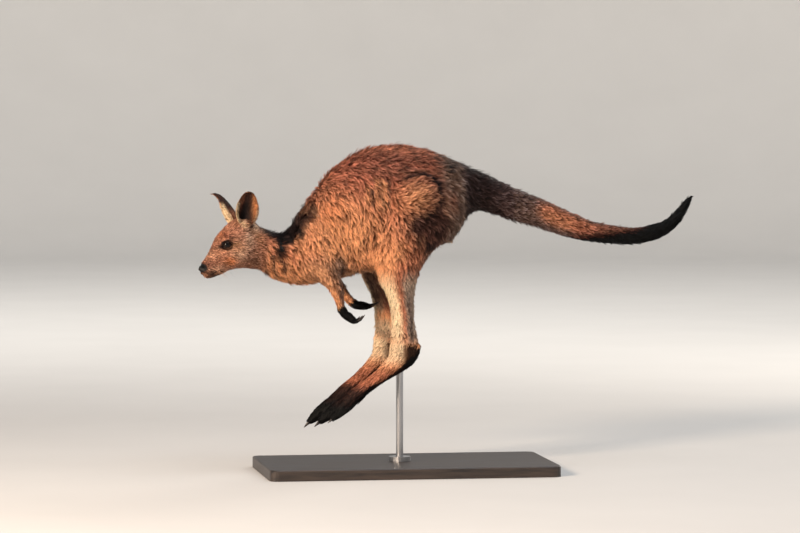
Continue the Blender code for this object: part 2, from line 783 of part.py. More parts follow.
def build():
    for obj in list(bpy.data.objects):
        bpy.data.objects.remove(obj)
    body = merged("trunk", body_pieces(), voxel=4, smoothing=9, triangles=2500)
    head = build_head()
    trim(body, grown(ahead_of(NECK_CUT), GAP), "DIFFERENCE")
    pieces = [take(body, "neck", ahead_of(NECK_BASE), -FAR, FAR)]
    pieces += cut_tail(body)
    pieces += cut_limbs(body)
    socket = round_bar("cutter", rod_top() - 2 * ROD_DEPTH_IN_BODY, rod_top() + GAP, ROD_RADIUS + GAP)
    boolean(body, socket, "DIFFERENCE")
    remove(socket)
    pieces.append(body)
    for piece in pieces + head:
        drop_crumbs(piece)
        turn_head(piece)
    for side, sign in (("l", -1), ("r", 1)):
        foot = foot_pieces(side, sign)
        hand = hand_pieces(side, sign)
        pieces += build_paw("foot_" + side, foot, foot_claws(side, sign), 2.4, 300, foot_outline())
        pieces += build_paw("hand_" + side, hand, hand_claws(side, sign), 1.7, 250, hand_outline(side))
    for piece in pieces + head + stand():
        finish(piece)


build()
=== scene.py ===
# %% [markdown]
# # A leaping eastern grey kangaroo on a display stand
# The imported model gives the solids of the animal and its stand. This lesson dresses them:
# one skin over all the flesh, a coat of fur locks on the skin, glass eyes, horn claws and the
# finishes of the stand. Everything is in metres, +Z is up, and the animal faces -X, so its
# left side is at -Y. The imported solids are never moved: the skin is made from copies of them.

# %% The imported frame
import math
import bmesh
import bpy
import numpy as np
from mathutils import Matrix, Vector, kdtree
from mathutils.bvhtree import BVHTree


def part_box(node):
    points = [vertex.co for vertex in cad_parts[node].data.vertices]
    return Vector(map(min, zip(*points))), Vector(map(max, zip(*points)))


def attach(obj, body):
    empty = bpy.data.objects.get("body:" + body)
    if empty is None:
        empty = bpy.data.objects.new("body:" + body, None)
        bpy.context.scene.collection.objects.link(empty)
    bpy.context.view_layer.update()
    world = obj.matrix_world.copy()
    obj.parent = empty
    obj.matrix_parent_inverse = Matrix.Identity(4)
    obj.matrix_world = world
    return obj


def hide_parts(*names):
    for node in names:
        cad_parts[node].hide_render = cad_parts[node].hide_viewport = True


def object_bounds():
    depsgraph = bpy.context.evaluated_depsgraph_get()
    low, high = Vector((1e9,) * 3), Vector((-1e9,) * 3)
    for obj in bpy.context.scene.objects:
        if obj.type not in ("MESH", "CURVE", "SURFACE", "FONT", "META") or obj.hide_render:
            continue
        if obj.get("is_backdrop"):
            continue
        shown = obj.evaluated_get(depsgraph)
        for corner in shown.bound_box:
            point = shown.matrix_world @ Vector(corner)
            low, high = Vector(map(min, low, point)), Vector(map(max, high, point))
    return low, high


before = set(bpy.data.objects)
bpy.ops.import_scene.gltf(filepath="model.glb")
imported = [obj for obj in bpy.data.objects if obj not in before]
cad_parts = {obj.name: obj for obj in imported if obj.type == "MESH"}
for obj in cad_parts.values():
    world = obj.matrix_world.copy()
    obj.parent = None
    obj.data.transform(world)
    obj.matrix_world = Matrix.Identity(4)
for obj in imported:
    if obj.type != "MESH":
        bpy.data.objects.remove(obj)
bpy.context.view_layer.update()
MM = 0.001

# %% [markdown]
# ## Floor, light and camera
# A pale floor and a few large soft lamps are enough for a studio picture. The warm key lamp
# stands low in front of the animal's left side, so every lock of fur gets a bright side and a
# dark one; a cooler lamp above fills the shade. The camera looks at the left flank from a
# little in front and a little above, through a long lens, so nothing is stretched.

# %% Floor, light and camera
SUBJECT = Vector((0.0, 0.0, 0.44))
VIEW_AZIMUTH, VIEW_ELEVATION, VIEW_DISTANCE = math.radians(-9), math.radians(3), 9.0
AIM_ACROSS, AIM_ABOVE = -0.011, 0.0131
LENS = 184.1
WALL_LAMPS = 5


def linked(name, data):
    """A new object that holds this data, linked in the scene."""
    made = bpy.data.objects.new(name, data)
    bpy.context.scene.collection.objects.link(made)
    return made


def smooth_object(name, mesh):
    """A new object of this mesh, shaded smooth."""
    mesh.polygons.foreach_set("use_smooth", np.ones(len(mesh.polygons), bool))
    return linked(name, mesh)


def floor_bowl(name, flat, turn, wall, around=96):
    """A round floor that curves up into a wall, so that every side has a plain backdrop."""
    rings = [(flat * k / 4, 0.0) for k in range(1, 5)]
    bends = np.linspace(0, math.pi / 2, 13)[1:]
    rings += [(flat + turn * math.sin(a), turn * (1 - math.cos(a))) for a in bends]
    rings.append((flat + turn, turn + wall))
    verts, faces = [(0, 0, 0)], []
    for r, z in rings:
        turns = [2 * math.pi * k / around for k in range(around)]
        verts += [(r * math.cos(a), r * math.sin(a), z) for a in turns]
    for k in range(around):
        n = (k + 1) % around
        faces.append((0, 1 + k, 1 + n))
        for ring in range(len(rings) - 1):
            a, b = 1 + ring * around, 1 + (ring + 1) * around
            faces.append((a + k, b + k, b + n, a + n))
    mesh = bpy.data.meshes.new(name)
    mesh.from_pydata(verts, [], faces)
    return smooth_object(name, mesh)


def soft_lamp(name, at, towards, size, power, colour):
    """An area lamp at a point, turned to what it lights."""
    data = bpy.data.lights.new(name, "AREA")
    data.shape = "DISK"
    data.size = size
    data.energy = power
    data.color = colour
    lamp = linked(name, data)
    lamp.location = at
    lamp.rotation_euler = (Vector(towards) - Vector(at)).to_track_quat("-Z", "Y").to_euler()


floor = floor_bowl("floor", 9.4, 2.4, 0.6)
floor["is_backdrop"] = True
soft_lamp("key_lamp", (-3.4, -3.2, 1.9), SUBJECT, 1.0, 350, (1.0, 0.80, 0.62))
soft_lamp("sky_lamp", (0.6, -1.5, 4.2), SUBJECT, 3.2, 90, (0.86, 0.92, 1.0))
soft_lamp("back_lamp", (2.6, 2.6, 2.4), SUBJECT, 1.6, 60, (1.0, 0.93, 0.85))
for k in range(WALL_LAMPS):
    turn = math.radians(90 + 360 / WALL_LAMPS * k)
    outward = Vector((math.cos(turn), math.sin(turn), 0))
    at, towards = outward * 3.5 + Vector((0, 0, 4.5)), outward * 11 + Vector((0, 0, 0.9))
    soft_lamp(f"wall_lamp_{k + 1}", at, towards, 2.5, 300, (1.0, 0.97, 0.93))

world = bpy.data.worlds.new("studio_air")
world.use_nodes = True
air = world.node_tree.nodes["Background"]
air.inputs["Color"].default_value = (0.80, 0.84, 0.90, 1)
air.inputs["Strength"].default_value = 0.36
bpy.context.scene.world = world
bpy.context.scene.view_settings.view_transform = "Standard"

sight = Vector((math.sin(VIEW_AZIMUTH) * math.cos(VIEW_ELEVATION),
                -math.cos(VIEW_AZIMUTH) * math.cos(VIEW_ELEVATION), math.sin(VIEW_ELEVATION)))
across = Vector((math.cos(VIEW_AZIMUTH), math.sin(VIEW_AZIMUTH), 0))
above = sight.cross(across)
aim = SUBJECT + AIM_ACROSS * across + AIM_ABOVE * above
camera_data = bpy.data.cameras.new("long_lens")
camera_data.sensor_width = 36
camera_data.lens = LENS
camera_data.clip_end = 60
camera = linked("camera", camera_data)
camera.location = aim + sight * VIEW_DISTANCE
camera.rotation_euler = (-sight).to_track_quat("-Z", "Y").to_euler()
bpy.context.scene.camera = camera
print("camera at", [round(v, 2) for v in camera.location], "and", 3 + WALL_LAMPS, "lamps")

# %% [markdown]
# ## One skin from many solids
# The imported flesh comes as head, neck, trunk, thighs and so on, parted by hairline cuts. A
# skin without seams needs one surface. The pieces could be welded edge to edge, but their
# edges don't match. Growing each by a hair, so that they overlap, and wrapping them all with
# a voxel remesh is simpler: the remesh only sees the outside. The sockets of the claws, the
# ears, the eyes and the rod are filled first with hulls, so that the skin closes over them.

# %% Flesh and what fills its sockets
FLESH = sorted(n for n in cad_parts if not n.startswith(("claw_", "ear_", "eye_", "stand_")))
OVERLAP, PLUG_GROW, EYE_GROW = 0.4 * MM, 0.6 * MM, 0.2 * MM
CLAW_SEAT, EAR_SEAT = 0.40, 0.14  # the share of a claw's or an ear's length that is filled
ROD_END, ROD_FILL = 1 * MM, 38 * MM


def solid_of(node):
    """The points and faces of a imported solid, with its split corners joined again."""
    bm = bmesh.new()
    bm.from_mesh(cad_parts[node].data)
    bmesh.ops.remove_doubles(bm, verts=bm.verts, dist=0.01 * MM)
    bmesh.ops.recalc_face_normals(bm, faces=bm.faces)
    bm.normal_update()
    points = np.array([v.co[:] for v in bm.verts])
    normals = np.array([v.normal[:] for v in bm.verts])
    faces = [[v.index for v in f.verts] for f in bm.faces]
    bm.free()
    return points, normals, faces


def hull_of(points, grow=0.0):
    """The closed hull of some points, as points and faces."""
    bm = bmesh.new()
    for p in points:
        bm.verts.new(p)
    bmesh.ops.convex_hull(bm, input=bm.verts)
    bmesh.ops.delete(bm, geom=[v for v in bm.verts if not v.link_faces], context="VERTS")
    bmesh.ops.recalc_face_normals(bm, faces=bm.faces)
    bm.normal_update()
    bm.verts.index_update()
    found = np.array([(v.co + v.normal * grow)[:] for v in bm.verts])
    faces = [[v.index for v in f.verts] for f in bm.faces]
    bm.free()
    return found, faces


def socket_plug(node, owner, share):
    """A hull round the end of a solid that sits in its owner, to fill the socket it left."""
    points = solid_of(node)[0]
    heart = solid_of(owner)[0].mean(0)
    middle = points.mean(0)
    axis = np.linalg.svd(points - middle)[2][0]
    if (heart - middle) @ axis > 0:
        axis = -axis
    along = (points - middle) @ axis
    along = (along - along.min()) / np.ptp(along)
    return hull_of(points[along < share], PLUG_GROW)


pieces = []
for name in FLESH:
    points, normals, faces = solid_of(name)
    pieces.append((points + normals * OVERLAP, faces))
for name in sorted(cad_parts):
    side = name[-1]
    if name.startswith("claw_toe"):
        pieces.append(socket_plug(name, "foot_" + side, CLAW_SEAT))
    elif name.startswith("claw_finger"):
        pieces.append(socket_plug(name, "hand_" + side, CLAW_SEAT))
    elif name.startswith("ear"):
        pieces.append(socket_plug(name, "head", EAR_SEAT))
    elif name.startswith("eye"):
        pieces.append(hull_of(solid_of(name)[0], EYE_GROW))
rod_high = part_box("stand_rod")[1].z
rod_end = np.array([p for p in solid_of("stand_rod")[0] if p[2] > rod_high - ROD_END])
rod_hull = np.concatenate([rod_end, rod_end])
rod_hull[:, 2] = np.repeat([rod_high, rod_high - ROD_FILL], len(rod_end))
pieces.append(hull_of(rod_hull, PLUG_GROW))
print("flesh solids", len(FLESH), "and sockets filled", len(pieces) - len(FLESH))

# %% [markdown]
# ## Wrapping the flesh, finer where it matters
# A voxel of about 3 mm is right for the trunk, but not for lids, lips and toes. A finer voxel
# all over would cost half a million faces, so the wrap is cut finer only on the head, hands
# and feet, and again round the eyes, mouth and claws. Directions on the head are easiest in
# the head's own frame, which comes from the two eyes: forward, sideways and up from the point
# between them.

# %% The head's own frame
def centre_of(node):
    low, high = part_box(node)
    return np.array((low + high) / 2)


EYE_CENTRE = {side: centre_of("eye_" + side) for side in "lr"}
EYE_RADIUS = float((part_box("eye_l")[1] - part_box("eye_l")[0]).z / 2)
BETWEEN_EYES = (EYE_CENTRE["l"] + EYE_CENTRE["r"]) / 2
SIDEWAYS = (EYE_CENTRE["r"] - EYE_CENTRE["l"]) / np.linalg.norm(EYE_CENTRE["r"] - EYE_CENTRE["l"])
SIDES = (("l", -1), ("r", 1))
UP = np.array([0.0, 0.0, 1.0])
FORWARD = np.cross(UP, SIDEWAYS)
HEAD_AXES = np.stack([FORWARD, SIDEWAYS, UP])
EYE_OUT = abs(float((EYE_CENTRE["l"] - BETWEEN_EYES) @ SIDEWAYS))


def in_head(points):
    """Points as (forward, sideways, up) from the middle between the eyes."""
    return (points - BETWEEN_EYES) @ HEAD_AXES.T


def from_head(places):
    return places @ HEAD_AXES + BETWEEN_EYES


print("eyes are", round(2 * EYE_OUT / MM), "mm apart and", round(2 * EYE_RADIUS / MM), "mm across")

# %% Wrapping
VOXEL = 3.2 * MM


def wrapped(parts, voxel):
    """All parts as one mesh, wrapped by a voxel remesh; returns it as a bmesh."""
    verts, faces = [], []
    for points, part_faces in parts:
        first = len(verts)
        verts += [tuple(p) for p in points]
        faces += [[first + k for k in face] for face in part_faces]
    mesh = bpy.data.meshes.new("flesh_parts")
    mesh.from_pydata(verts, [], faces)
    holder = linked("flesh_parts", mesh)
    remesh = holder.modifiers.new("wrap", "REMESH")
    remesh.mode = "VOXEL"
    remesh.voxel_size = voxel
    graph = bpy.context.evaluated_depsgraph_get()
    result = holder.evaluated_get(graph).to_mesh()
    bm = bmesh.new()
    bm.from_mesh(result)
    surface = BVHTree.FromPolygons([Vector(v) for v in verts], faces)
    bpy.data.objects.remove(holder)
    bpy.data.meshes.remove(mesh)
    return bm, surface


def keep_largest(bm):
    """Removes loose shells, such as bubbles left inside, and says how many there were."""
    left = set(bm.verts)
    shells = []
    while left:
        seed = left.pop()
        shell, to_visit = [seed], [seed]
        while to_visit:
            for link in to_visit.pop().link_edges:
                for v in link.verts:
                    if v in left:
                        left.remove(v)
                        shell.append(v)
                        to_visit.append(v)
        shells.append(shell)
    shells.sort(key=len)
    for shell in shells[:-1]:
        bmesh.ops.delete(bm, geom=shell, context="VERTS")
    return len(shells) - 1


bm, flesh_surface = wrapped(pieces, VOXEL)
bubbles = keep_largest(bm)
print("wrapped:", len(bm.verts), "points;", bubbles, "bubbles removed")

# %% Finer cuts on the head, hands and feet
PAWS = [n for n in FLESH if n.startswith(("hand", "foot"))]
ROOM = Vector((5 * MM,) * 3)
TIPS = {n: (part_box(n)[0] - ROOM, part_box(n)[1] + ROOM) for n in PAWS}
HEAD_REAR, MOUTH_REAR = -78 * MM, 26 * MM
EYE_REACH, EYE_INWARD = 21 * MM, 14 * MM
TOES_HIGH = 58 * MM


def in_box(p, low, high):
    return all(low[k] <= p[k] <= high[k] for k in range(3))


def near_detail(p, level):
    """True where the skin needs its first (0) or second (1) finer cut."""
    f, s, u = in_head(np.array(p[:]))
    paws = [n for n in PAWS if in_box(p, *TIPS[n])]
    if level == 0:
        return f > HEAD_REAR or len(paws) > 0
    eye = math.hypot(f, u) < EYE_REACH and abs(s) > EYE_INWARD
    claws = any(n[:4] == "hand" or p.z < TIPS[n][0].z + TOES_HIGH for n in paws)
    return eye or f > MOUTH_REAR or claws


for level in range(2):
    chosen = {v for v in bm.verts if near_detail(v.co, level)}
    edges = [e for e in bm.edges if e.verts[0] in chosen and e.verts[1] in chosen]
    bmesh.ops.subdivide_edges(bm, edges=edges, cuts=1, use_grid_fill=True)
bmesh.ops.triangulate(bm, faces=[f for f in bm.faces if len(f.verts) > 4])
bm.verts.index_update()
skin_points = np.array([v.co[:] for v in bm.verts])
skin_edges = np.array([[v.index for v in e.verts] for e in bm.edges])
print("after finer cuts:", len(skin_points), "points")

# %% [markdown]
# ## Smoothing without shrinking
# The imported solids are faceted, and the skin must not be. Plain smoothing would shrink the
# fingers away, so each step that pulls points together is followed by one that pushes them
# slightly apart. On the paws the fine points are first laid back on the solid, which brings
# back the clefts between the toes that the coarse wrap had bridged.

# %% Smoothing
FINE_STEPS, ROUND_STEPS = 5, 55


def triangle_corners(points, faces):
    return (points[faces[:, k]] for k in range(3))


def triangle_areas(points, faces):
    a, b, c = triangle_corners(points, faces)
    return np.linalg.norm(np.cross(b - a, c - a), axis=1) / 2


def triangles_of(mesh):
    """The triangles of a mesh, once as its points and once as its loops."""
    mesh.calc_loop_triangles()
    found = []
    for kind in ("vertices", "loops"):
        values = np.empty(len(mesh.loop_triangles) * 3, np.int32)
        mesh.loop_triangles.foreach_get(kind, values)
        found.append(values.reshape(-1, 3))
    return found


def normals_of(points, faces):
    """Unit normals at the points of a surface given as triangles."""
    a, b, c = triangle_corners(points, faces)
    area = np.cross(b - a, c - a)
    total = np.stack([sum(np.bincount(faces[:, k], area[:, j], len(points)) for k in range(3))
                      for j in range(3)], 1)
    return total / np.maximum(np.linalg.norm(total, axis=1, keepdims=True), 1e-12)


def neighbour_lists(edges, count):
    """For every point its neighbours along the edges, as one long list with its starts."""
    ends = np.concatenate([edges, edges[:, ::-1]])
    ends = ends[np.argsort(ends[:, 0], kind="stable")]
    many = np.bincount(ends[:, 0], minlength=count)
    return ends[:, 1], np.concatenate([[0], np.cumsum(many)[:-1]]), many


def neighbour_mean(values):
    """The mean of each point's neighbours."""
    others, starts, many = neighbours
    shape = (-1,) + (1,) * (values.ndim - 1)
    return np.add.reduceat(values[others], starts, axis=0) / many.reshape(shape)


def spread(values, steps, share=0.6):
    """Evens a value out over the skin."""
    for _ in range(steps):
        values = values + share * (neighbour_mean(values) - values)
    return values


def smoothed(points, steps):
    """Smooths in pairs of steps, in and out, so that thin parts keep their girth."""
    for _ in range(steps):
        points = points + 0.50 * (neighbour_mean(points) - points)
        points = points - 0.52 * (neighbour_mean(points) - points)
    return points


def ease(x, low, high):
    """0 below low, 1 above high, smooth between."""
    t = np.clip((x - low) / (high - low), 0, 1)
    return t * t * (3 - 2 * t)


def bump(x, centre, reach):
    """1 at the centre, falling softly to 0."""
    return np.exp(-(((x - centre) / reach) ** 2))


neighbours = neighbour_lists(skin_edges, len(skin_points))
paw = np.zeros(len(skin_points))
for n in PAWS:
    low, high = (np.array(v) for v in TIPS[n])
    paw = np.maximum(paw, np.all((skin_points > low) & (skin_points < high), axis=1))
for k in np.flatnonzero(paw > 0):
    skin_points[k] = flesh_surface.find_nearest(skin_points[k])[0]
light = smoothed(skin_points, FINE_STEPS)
strong = smoothed(skin_points, ROUND_STEPS)
firm = np.clip(spread(paw, 6), 0, 1)[:, None]
skin_points = strong + (light - strong) * firm

for v, p in zip(bm.verts, skin_points):
    v.co = p
skin_mesh = bpy.data.meshes.new("skin")
bm.to_mesh(skin_mesh)
bm.free()
skin_faces, _ = triangles_of(skin_mesh)
skin_normals = normals_of(skin_points, skin_faces)
skin_area = float(triangle_areas(skin_points, skin_faces).sum())
print("skin:", len(skin_faces), "triangles,", round(skin_area, 3), "square metres")

# %% [markdown]
# ## How deep the coat is
# The imported solids reach to the tips of the coat, so the skin lies inside them by the coat's
# depth: deep on the back and haunches, shallow on the legs, a thin pile on the face and almost
# nothing on hands and feet. Each region's settings sit in one table, and every value is
# spread over the skin so that one region fades into the next.

# %% Regions of the coat
# depth of the coat, length of a lock, distance between locks, width of a lock's blades, in mm,
# and how strongly the locks part into light and dark: painted shade at the roots and painted
# light at the tips, tone that differs from lock to lock, and sway
COAT = {
    "head": (2.8, 8.5, 1.75, 0.66, 1.1),
    "neck": (8.0, 18, 2.7, 0.9, 1.5),
    "trunk": (8.5, 19.5, 2.9, 0.9, 1.35),
    "thigh": (8.5, 17, 2.8, 0.88, 1.3),
    "shank": (4.5, 12, 2.3, 0.8, 0.35),
    "foot": (2.0, 8.5, 1.9, 0.8, 0.7),
    "upper_arm": (5.5, 14, 2.3, 0.85, 1.1),
    "forearm": (3.0, 11, 1.9, 0.85, 0.8),
    "hand": (1.2, 5.0, 1.5, 0.6, 0.6),
    "tail_1": (7.0, 14, 2.6, 0.95, 1.3),
    "tail_2": (5.0, 12, 2.3, 0.9, 1.3),
    "tail_3": (4.2, 14, 2.1, 1.0, 0.9),
    "ear": (0.9, 6.0, 1.5, 0.6, 0.7),
}
REGIONS = list(COAT)
MARK_SPACING, FADE_STEPS = 5 * MM, 150


def region_of(node):
    return node.removesuffix("_l").removesuffix("_r")


def tree_of(points):
    """A tree that finds the nearest of some points."""
    tree = kdtree.KDTree(len(points))
    for k, p in enumerate(points):
        tree.insert(p, k)
    tree.balance()
    return tree


def scattered(points, faces, spacing, rng):
    """Points spread evenly over some triangles, about this far apart."""
    faces = np.array(faces)
    a, b, c = triangle_corners(points, faces)
    area = triangle_areas(points, faces)
    count = int(area.sum() / spacing**2) + 1
    pick = rng.choice(len(area), count, p=area / area.sum())
    u, v = rng.random(count), rng.random(count)
    u, v = np.where(u + v > 1, 1 - u, u), np.where(u + v > 1, 1 - v, v)
    return a[pick] + (b - a)[pick] * u[:, None] + (c - a)[pick] * v[:, None]


rng = np.random.default_rng(7)
marks, owners = [], []
for name in FLESH:
    points, _, faces = solid_of(name)
    found = scattered(points, faces, MARK_SPACING, rng)
    marks.append(found)
    owners += [REGIONS.index(region_of(name))] * len(found)
marks = np.concatenate(marks)
tree = tree_of(marks)
region = np.array([owners[tree.find(p)[1]] for p in skin_points])
settings = np.array([COAT[name] for name in REGIONS]) * MM
coat_fields = spread(settings[region], FADE_STEPS)
print("depth of the coat from", round(coat_fields[:, 0].min() / MM, 1), "to",
      round(coat_fields[:, 0].max() / MM, 1), "mm")

# %% [markdown]
# ## Forms under the coat
# The solids give the outline. Under a coat you also see shoulder blade, ribs, the bulge of
# the thigh muscle with a fold in front of it and a hollow behind. A handful of soft swellings
# and hollows, each a centre, a reach and a height, is enough, the same on both sides.

# %% Shoulders, flanks and haunches
# centre (x, half y, z), reach (x, y, z), height: all in mm; a minus height is a hollow
FORMS = [
    ((8, 95, 610), (36, 60, 32), 10.0),  # bulge of the thigh muscle
    ((-6, 95, 655), (44, 50, 9), -6.0),  # fold over it
    ((60, 90, 612), (12, 60, 40), -9.0),  # hollow behind it
    ((92, 70, 588), (18, 60, 46), 4.5),  # the seat
    ((-48, 95, 604), (12, 50, 44), -5.5),  # crease in front of the thigh
    ((-70, 95, 520), (16, 60, 60), -5.0),  # flank drawn in before the knee
    ((30, 90, 540), (30, 60, 12), -4.0),  # under the bulge
    ((-178, 70, 560), (34, 50, 50), 4.0),  # shoulder blade
    ((-142, 80, 520), (14, 60, 60), -3.5),  # behind the shoulder
    ((-238, 60, 500), (16, 50, 40), -3.5),  # between neck and shoulder
    ((-110, 85, 590), (30, 60, 40), 2.5),  # ribs
    ((8, 62, 320), (6, 30, 44), -3.5),  # before the tendon of the heel
    ((98, 0, 524), (9, 14, 10), 4.5),  # tuft under the rump
]
COLLAR_AT, COLLAR_WIDTH, COLLAR_STEPS = -78, 22, 90  # where head and neck are evened, in mm


def swelling(points, centre, reach, height):
    """How far a soft form lifts each point, falling off smoothly from its centre."""
    far = (points - np.array(centre) * MM) / (np.array(reach) * MM)
    return height * MM * np.exp(-(far**2).sum(1))


lift = np.zeros(len(skin_points))
for (x, y, z), reach, height in FORMS:
    for half_y in (-y, y):
        lift += swelling(skin_points, (x, half_y, z), reach, height)
soft_normals = spread(skin_normals, 4)
soft_normals /= np.linalg.norm(soft_normals, axis=1, keepdims=True)
skin_points = skin_points + soft_normals * (lift - coat_fields[:, 0])[:, None]
skin_points = smoothed(skin_points, 2)
collar = bump(in_head(skin_points)[:, 0] / MM, COLLAR_AT, COLLAR_WIDTH)[:, None]
skin_points = skin_points + collar * (spread(skin_points, COLLAR_STEPS) - skin_points)
skin_normals = normals_of(skin_points, skin_faces)
print("swellings up to", round(lift.max() / MM, 1), "mm,",
      "hollows to", round(lift.min() / MM, 1), "mm")

# %% [markdown]
# ## The head
# Lids, nose and lips are what makes a face. The lids could be separate rings, but then a seam
# would show. Here the skin itself is moved: points inside the almond of the eye sink behind the
# eyeball, points on its edge are laid exactly on the edge, and points round it are drawn over
# the ball, which gives a lid with a thickness and a crease. Nostrils and the line of the lips
# are grooves along short lines in the head's own frame.

# %% Lids
LID = 0.9
EYE_MM = EYE_RADIUS / MM
EYE_TILT = math.radians(5)
OPEN_FRONT, OPEN_REAR, OPEN_UP, OPEN_DOWN = 10.8, 12.2, 6.4, 7.0
FAR_FROM_EYE = 9.0
# bands of the lid, as shares of the opening: behind the ball, its inner edge, its rim, its reach
LID_BACK, LID_INNER, LID_EDGE, LID_REACH = 0.74, 0.87, 1.04, 2.6
INNER_AT, INNER_GAP, BACK_SUNK = 0.975, 0.05, 2.2


def eye_place(sign):
    """The middle of an eye in the head's frame, in mm."""
    return np.array([0, sign * EYE_OUT / MM, 0])


def eye_axes(sign):
    """The eye's outward axis and its forward and upward tangents, in the head's frame."""
    out = np.array([0.22, sign * 0.97, 0.08])
    out /= np.linalg.norm(out)
    fore = np.array([1.0, 0, 0]) - out[0] * out
    fore /= np.linalg.norm(fore)
    rise = np.cross(fore, out) * -sign
    rise = rise if rise[2] > 0 else -rise
    tilted_fore = fore * math.cos(EYE_TILT) - rise * math.sin(EYE_TILT)
    tilted_rise = rise * math.cos(EYE_TILT) + fore * math.sin(EYE_TILT)
    return out, tilted_fore, tilted_rise


def eye_opening(place, sign):
    """How far each point is from the middle of the opening, 1 at the edge, and its place there."""
    out, fore, rise = eye_axes(sign)
    from_eye = place / MM - eye_place(sign)
    x, y, z = from_eye @ fore, from_eye @ rise, from_eye @ out
    half_long = np.where(x > 0, OPEN_FRONT, OPEN_REAR)
    half_high = np.where(y > 0, OPEN_UP, OPEN_DOWN)
    oval = np.sqrt((x / half_long) ** 2 + (y / half_high) ** 2)
    almond = (np.abs(y) + np.sqrt(y**2 + (2 * half_high * x / half_long) ** 2)) / (2 * half_high)
    pointed = np.where(x > 0, 0.35, 0.75)
    share = oval + pointed * (almond - oval)
    share = np.where((z > 0) & (np.linalg.norm(from_eye, axis=1) < 32), share, FAR_FROM_EYE)
    return share, x, y, z


place = in_head(skin_points)
eye_share = np.full(len(skin_points), FAR_FROM_EYE)
for sign in (-1, 1):
    share, x, y, z = eye_opening(place, sign)
    out, fore, rise = eye_axes(sign)
    near = share < LID_REACH
    s, x, y, z = share[near], x[near], y[near], z[near]
    eye_share[near] = np.minimum(eye_share[near], s)
    reach = np.sqrt(x**2 + y**2 + z**2)
    target = EYE_MM + LID
    hold = 1 - ease(s, 1.15, 2.5)
    radius = reach + (target - reach) * hold
    new = np.stack([x, y, z], 1) * (radius / reach)[:, None]
    bands = (
        ((s >= LID_INNER) & (s < LID_EDGE), 1.0, target),
        ((s >= LID_BACK) & (s < LID_INNER), INNER_AT, EYE_MM + INNER_GAP),
        (s < LID_BACK, None, EYE_MM - BACK_SUNK),
    )
    for band, at, ball in bands:
        bx, by = x[band], y[band]
        if at is not None:
            bx, by = bx * at / s[band], by * at / s[band]
        bz = np.sqrt(np.maximum(ball**2 - bx**2 - by**2, 1.0))
        new[band] = np.stack([bx, by, bz], 1)
    moved = new @ np.stack([fore, rise, out]) + eye_place(sign)
    place[near] = moved * MM
skin_points = from_head(place)
loose = 0.6 * ease(eye_share, LID_EDGE, 1.2) * (1 - ease(eye_share, 2.3, 2.9))
for _ in range(36):
    skin_points = skin_points + loose[:, None] * (neighbour_mean(skin_points) - skin_points)
print("points on the lids:", int((eye_share < 1.3).sum()))

# %% Nose, lips and cheeks
# (forward, half sideways, up), reach, height, all in mm in the head's frame
FACE = [
    ((8, 24, 16), (14, 8, 6), 1.2),  # brow
    ((20, 17, -16), (11, 9, 10), -1.4),  # hollow before the eye
    ((-24, 32, -30), (18, 12, 16), 1.6),  # cheek
    ((-6, 30, -44), (14, 12, 7), -1.0),  # under the cheek
    ((42, 9, -44), (9, 6, 7), 0.8),  # side of the nose
    ((-42, 24, 42), (15, 13, 12), 1.5),  # the root of the ear
    ((34, 10, -58), (9, 7, 5), 0.9),  # full upper lip
    ((38, 0, -70), (8, 9, 5), 0.8),  # chin
]
LIP_LINE = [(60, -55), (50, -60), (40, -63), (28, -62), (16, -58.5), (5, -54)]
NOSTRIL = [(57, -47), (52.5, -45.5), (48, -48.5)]
NOSE_WING = [(57, -43), (50, -41.5), (44.5, -46)]
NOSE_AT, NOSE_REACH = (57, -50), (15.5, 10.5)


def distance_to_line(x, y, line):
    """The distance of points from a bent line, and how far along it they are, 0 to 1."""
    best, along = np.full(len(x), 1e9), np.zeros(len(x))
    for k, ((x0, y0), (x1, y1)) in enumerate(zip(line[:-1], line[1:])):
        dx, dy = x1 - x0, y1 - y0
        t = np.clip(((x - x0) * dx + (y - y0) * dy) / (dx * dx + dy * dy), 0, 1)
        far = np.hypot(x - x0 - t * dx, y - y0 - t * dy)
        closer = far < best
        best = np.where(closer, far, best)
        along = np.where(closer, (k + t) / (len(line) - 1), along)
    return best, along


place = in_head(skin_points)
f, s, u = (place / MM).T
face_lift = np.zeros(len(f))
for (cf, cs, cu), (rf, rs, ru), height in FACE:
    for sign in {-1, 1} if cs else {1}:
        far = ((f - cf) / rf) ** 2 + ((s - sign * cs) / rs) ** 2 + ((u - cu) / ru) ** 2
        face_lift += height * np.exp(-far)
lip_far, lip_along = distance_to_line(f, u, LIP_LINE)
lip_near = bump(lip_far, 0, 1.15) * ease(f, 3, 9) * (1 - 0.4 * lip_along)
face_lift -= 2.0 * lip_near
face_lift += 0.7 * bump(lip_far, 3.2, 2.0) * ease(f, 6, 16)
beside_middle = ease(np.abs(s), 3, 6)
face_lift -= 3.6 * (bump(distance_to_line(f, u, NOSTRIL)[0], 0, 1.9) * beside_middle)
face_lift += 0.9 * bump(distance_to_line(f, u, NOSE_WING)[0], 0, 2.2) * beside_middle
upper_fold = bump(eye_share, 1.5, 0.11) * ease(u, -3, 3)
lower_fold = bump(eye_share, 1.45, 0.1) * ease(-u, 0, 5)
face_lift -= 0.8 * upper_fold + 0.4 * lower_fold
groove = bump(s, 0, 1) * ease(f, 50, 54) * ease(-u, 46, 50) * (1 - ease(-u, 57, 60))
face_lift -= groove
calm = ease(eye_share, 1.1, 1.35)
skin_normals = normals_of(skin_points, skin_faces)
skin_points = skin_points + skin_normals * (face_lift * calm * MM)[:, None]
from_nose = [(v - at) / reach for v, at, reach in zip((f, u), NOSE_AT, NOSE_REACH)]
nose_pad = 1 - ease(np.sqrt(from_nose[0] ** 2 + from_nose[1] ** 2), 0.85, 1.08)
skin_normals = normals_of(skin_points, skin_faces)
print("face forms from", round(face_lift.min(), 1), "to", round(face_lift.max(), 1), "mm")

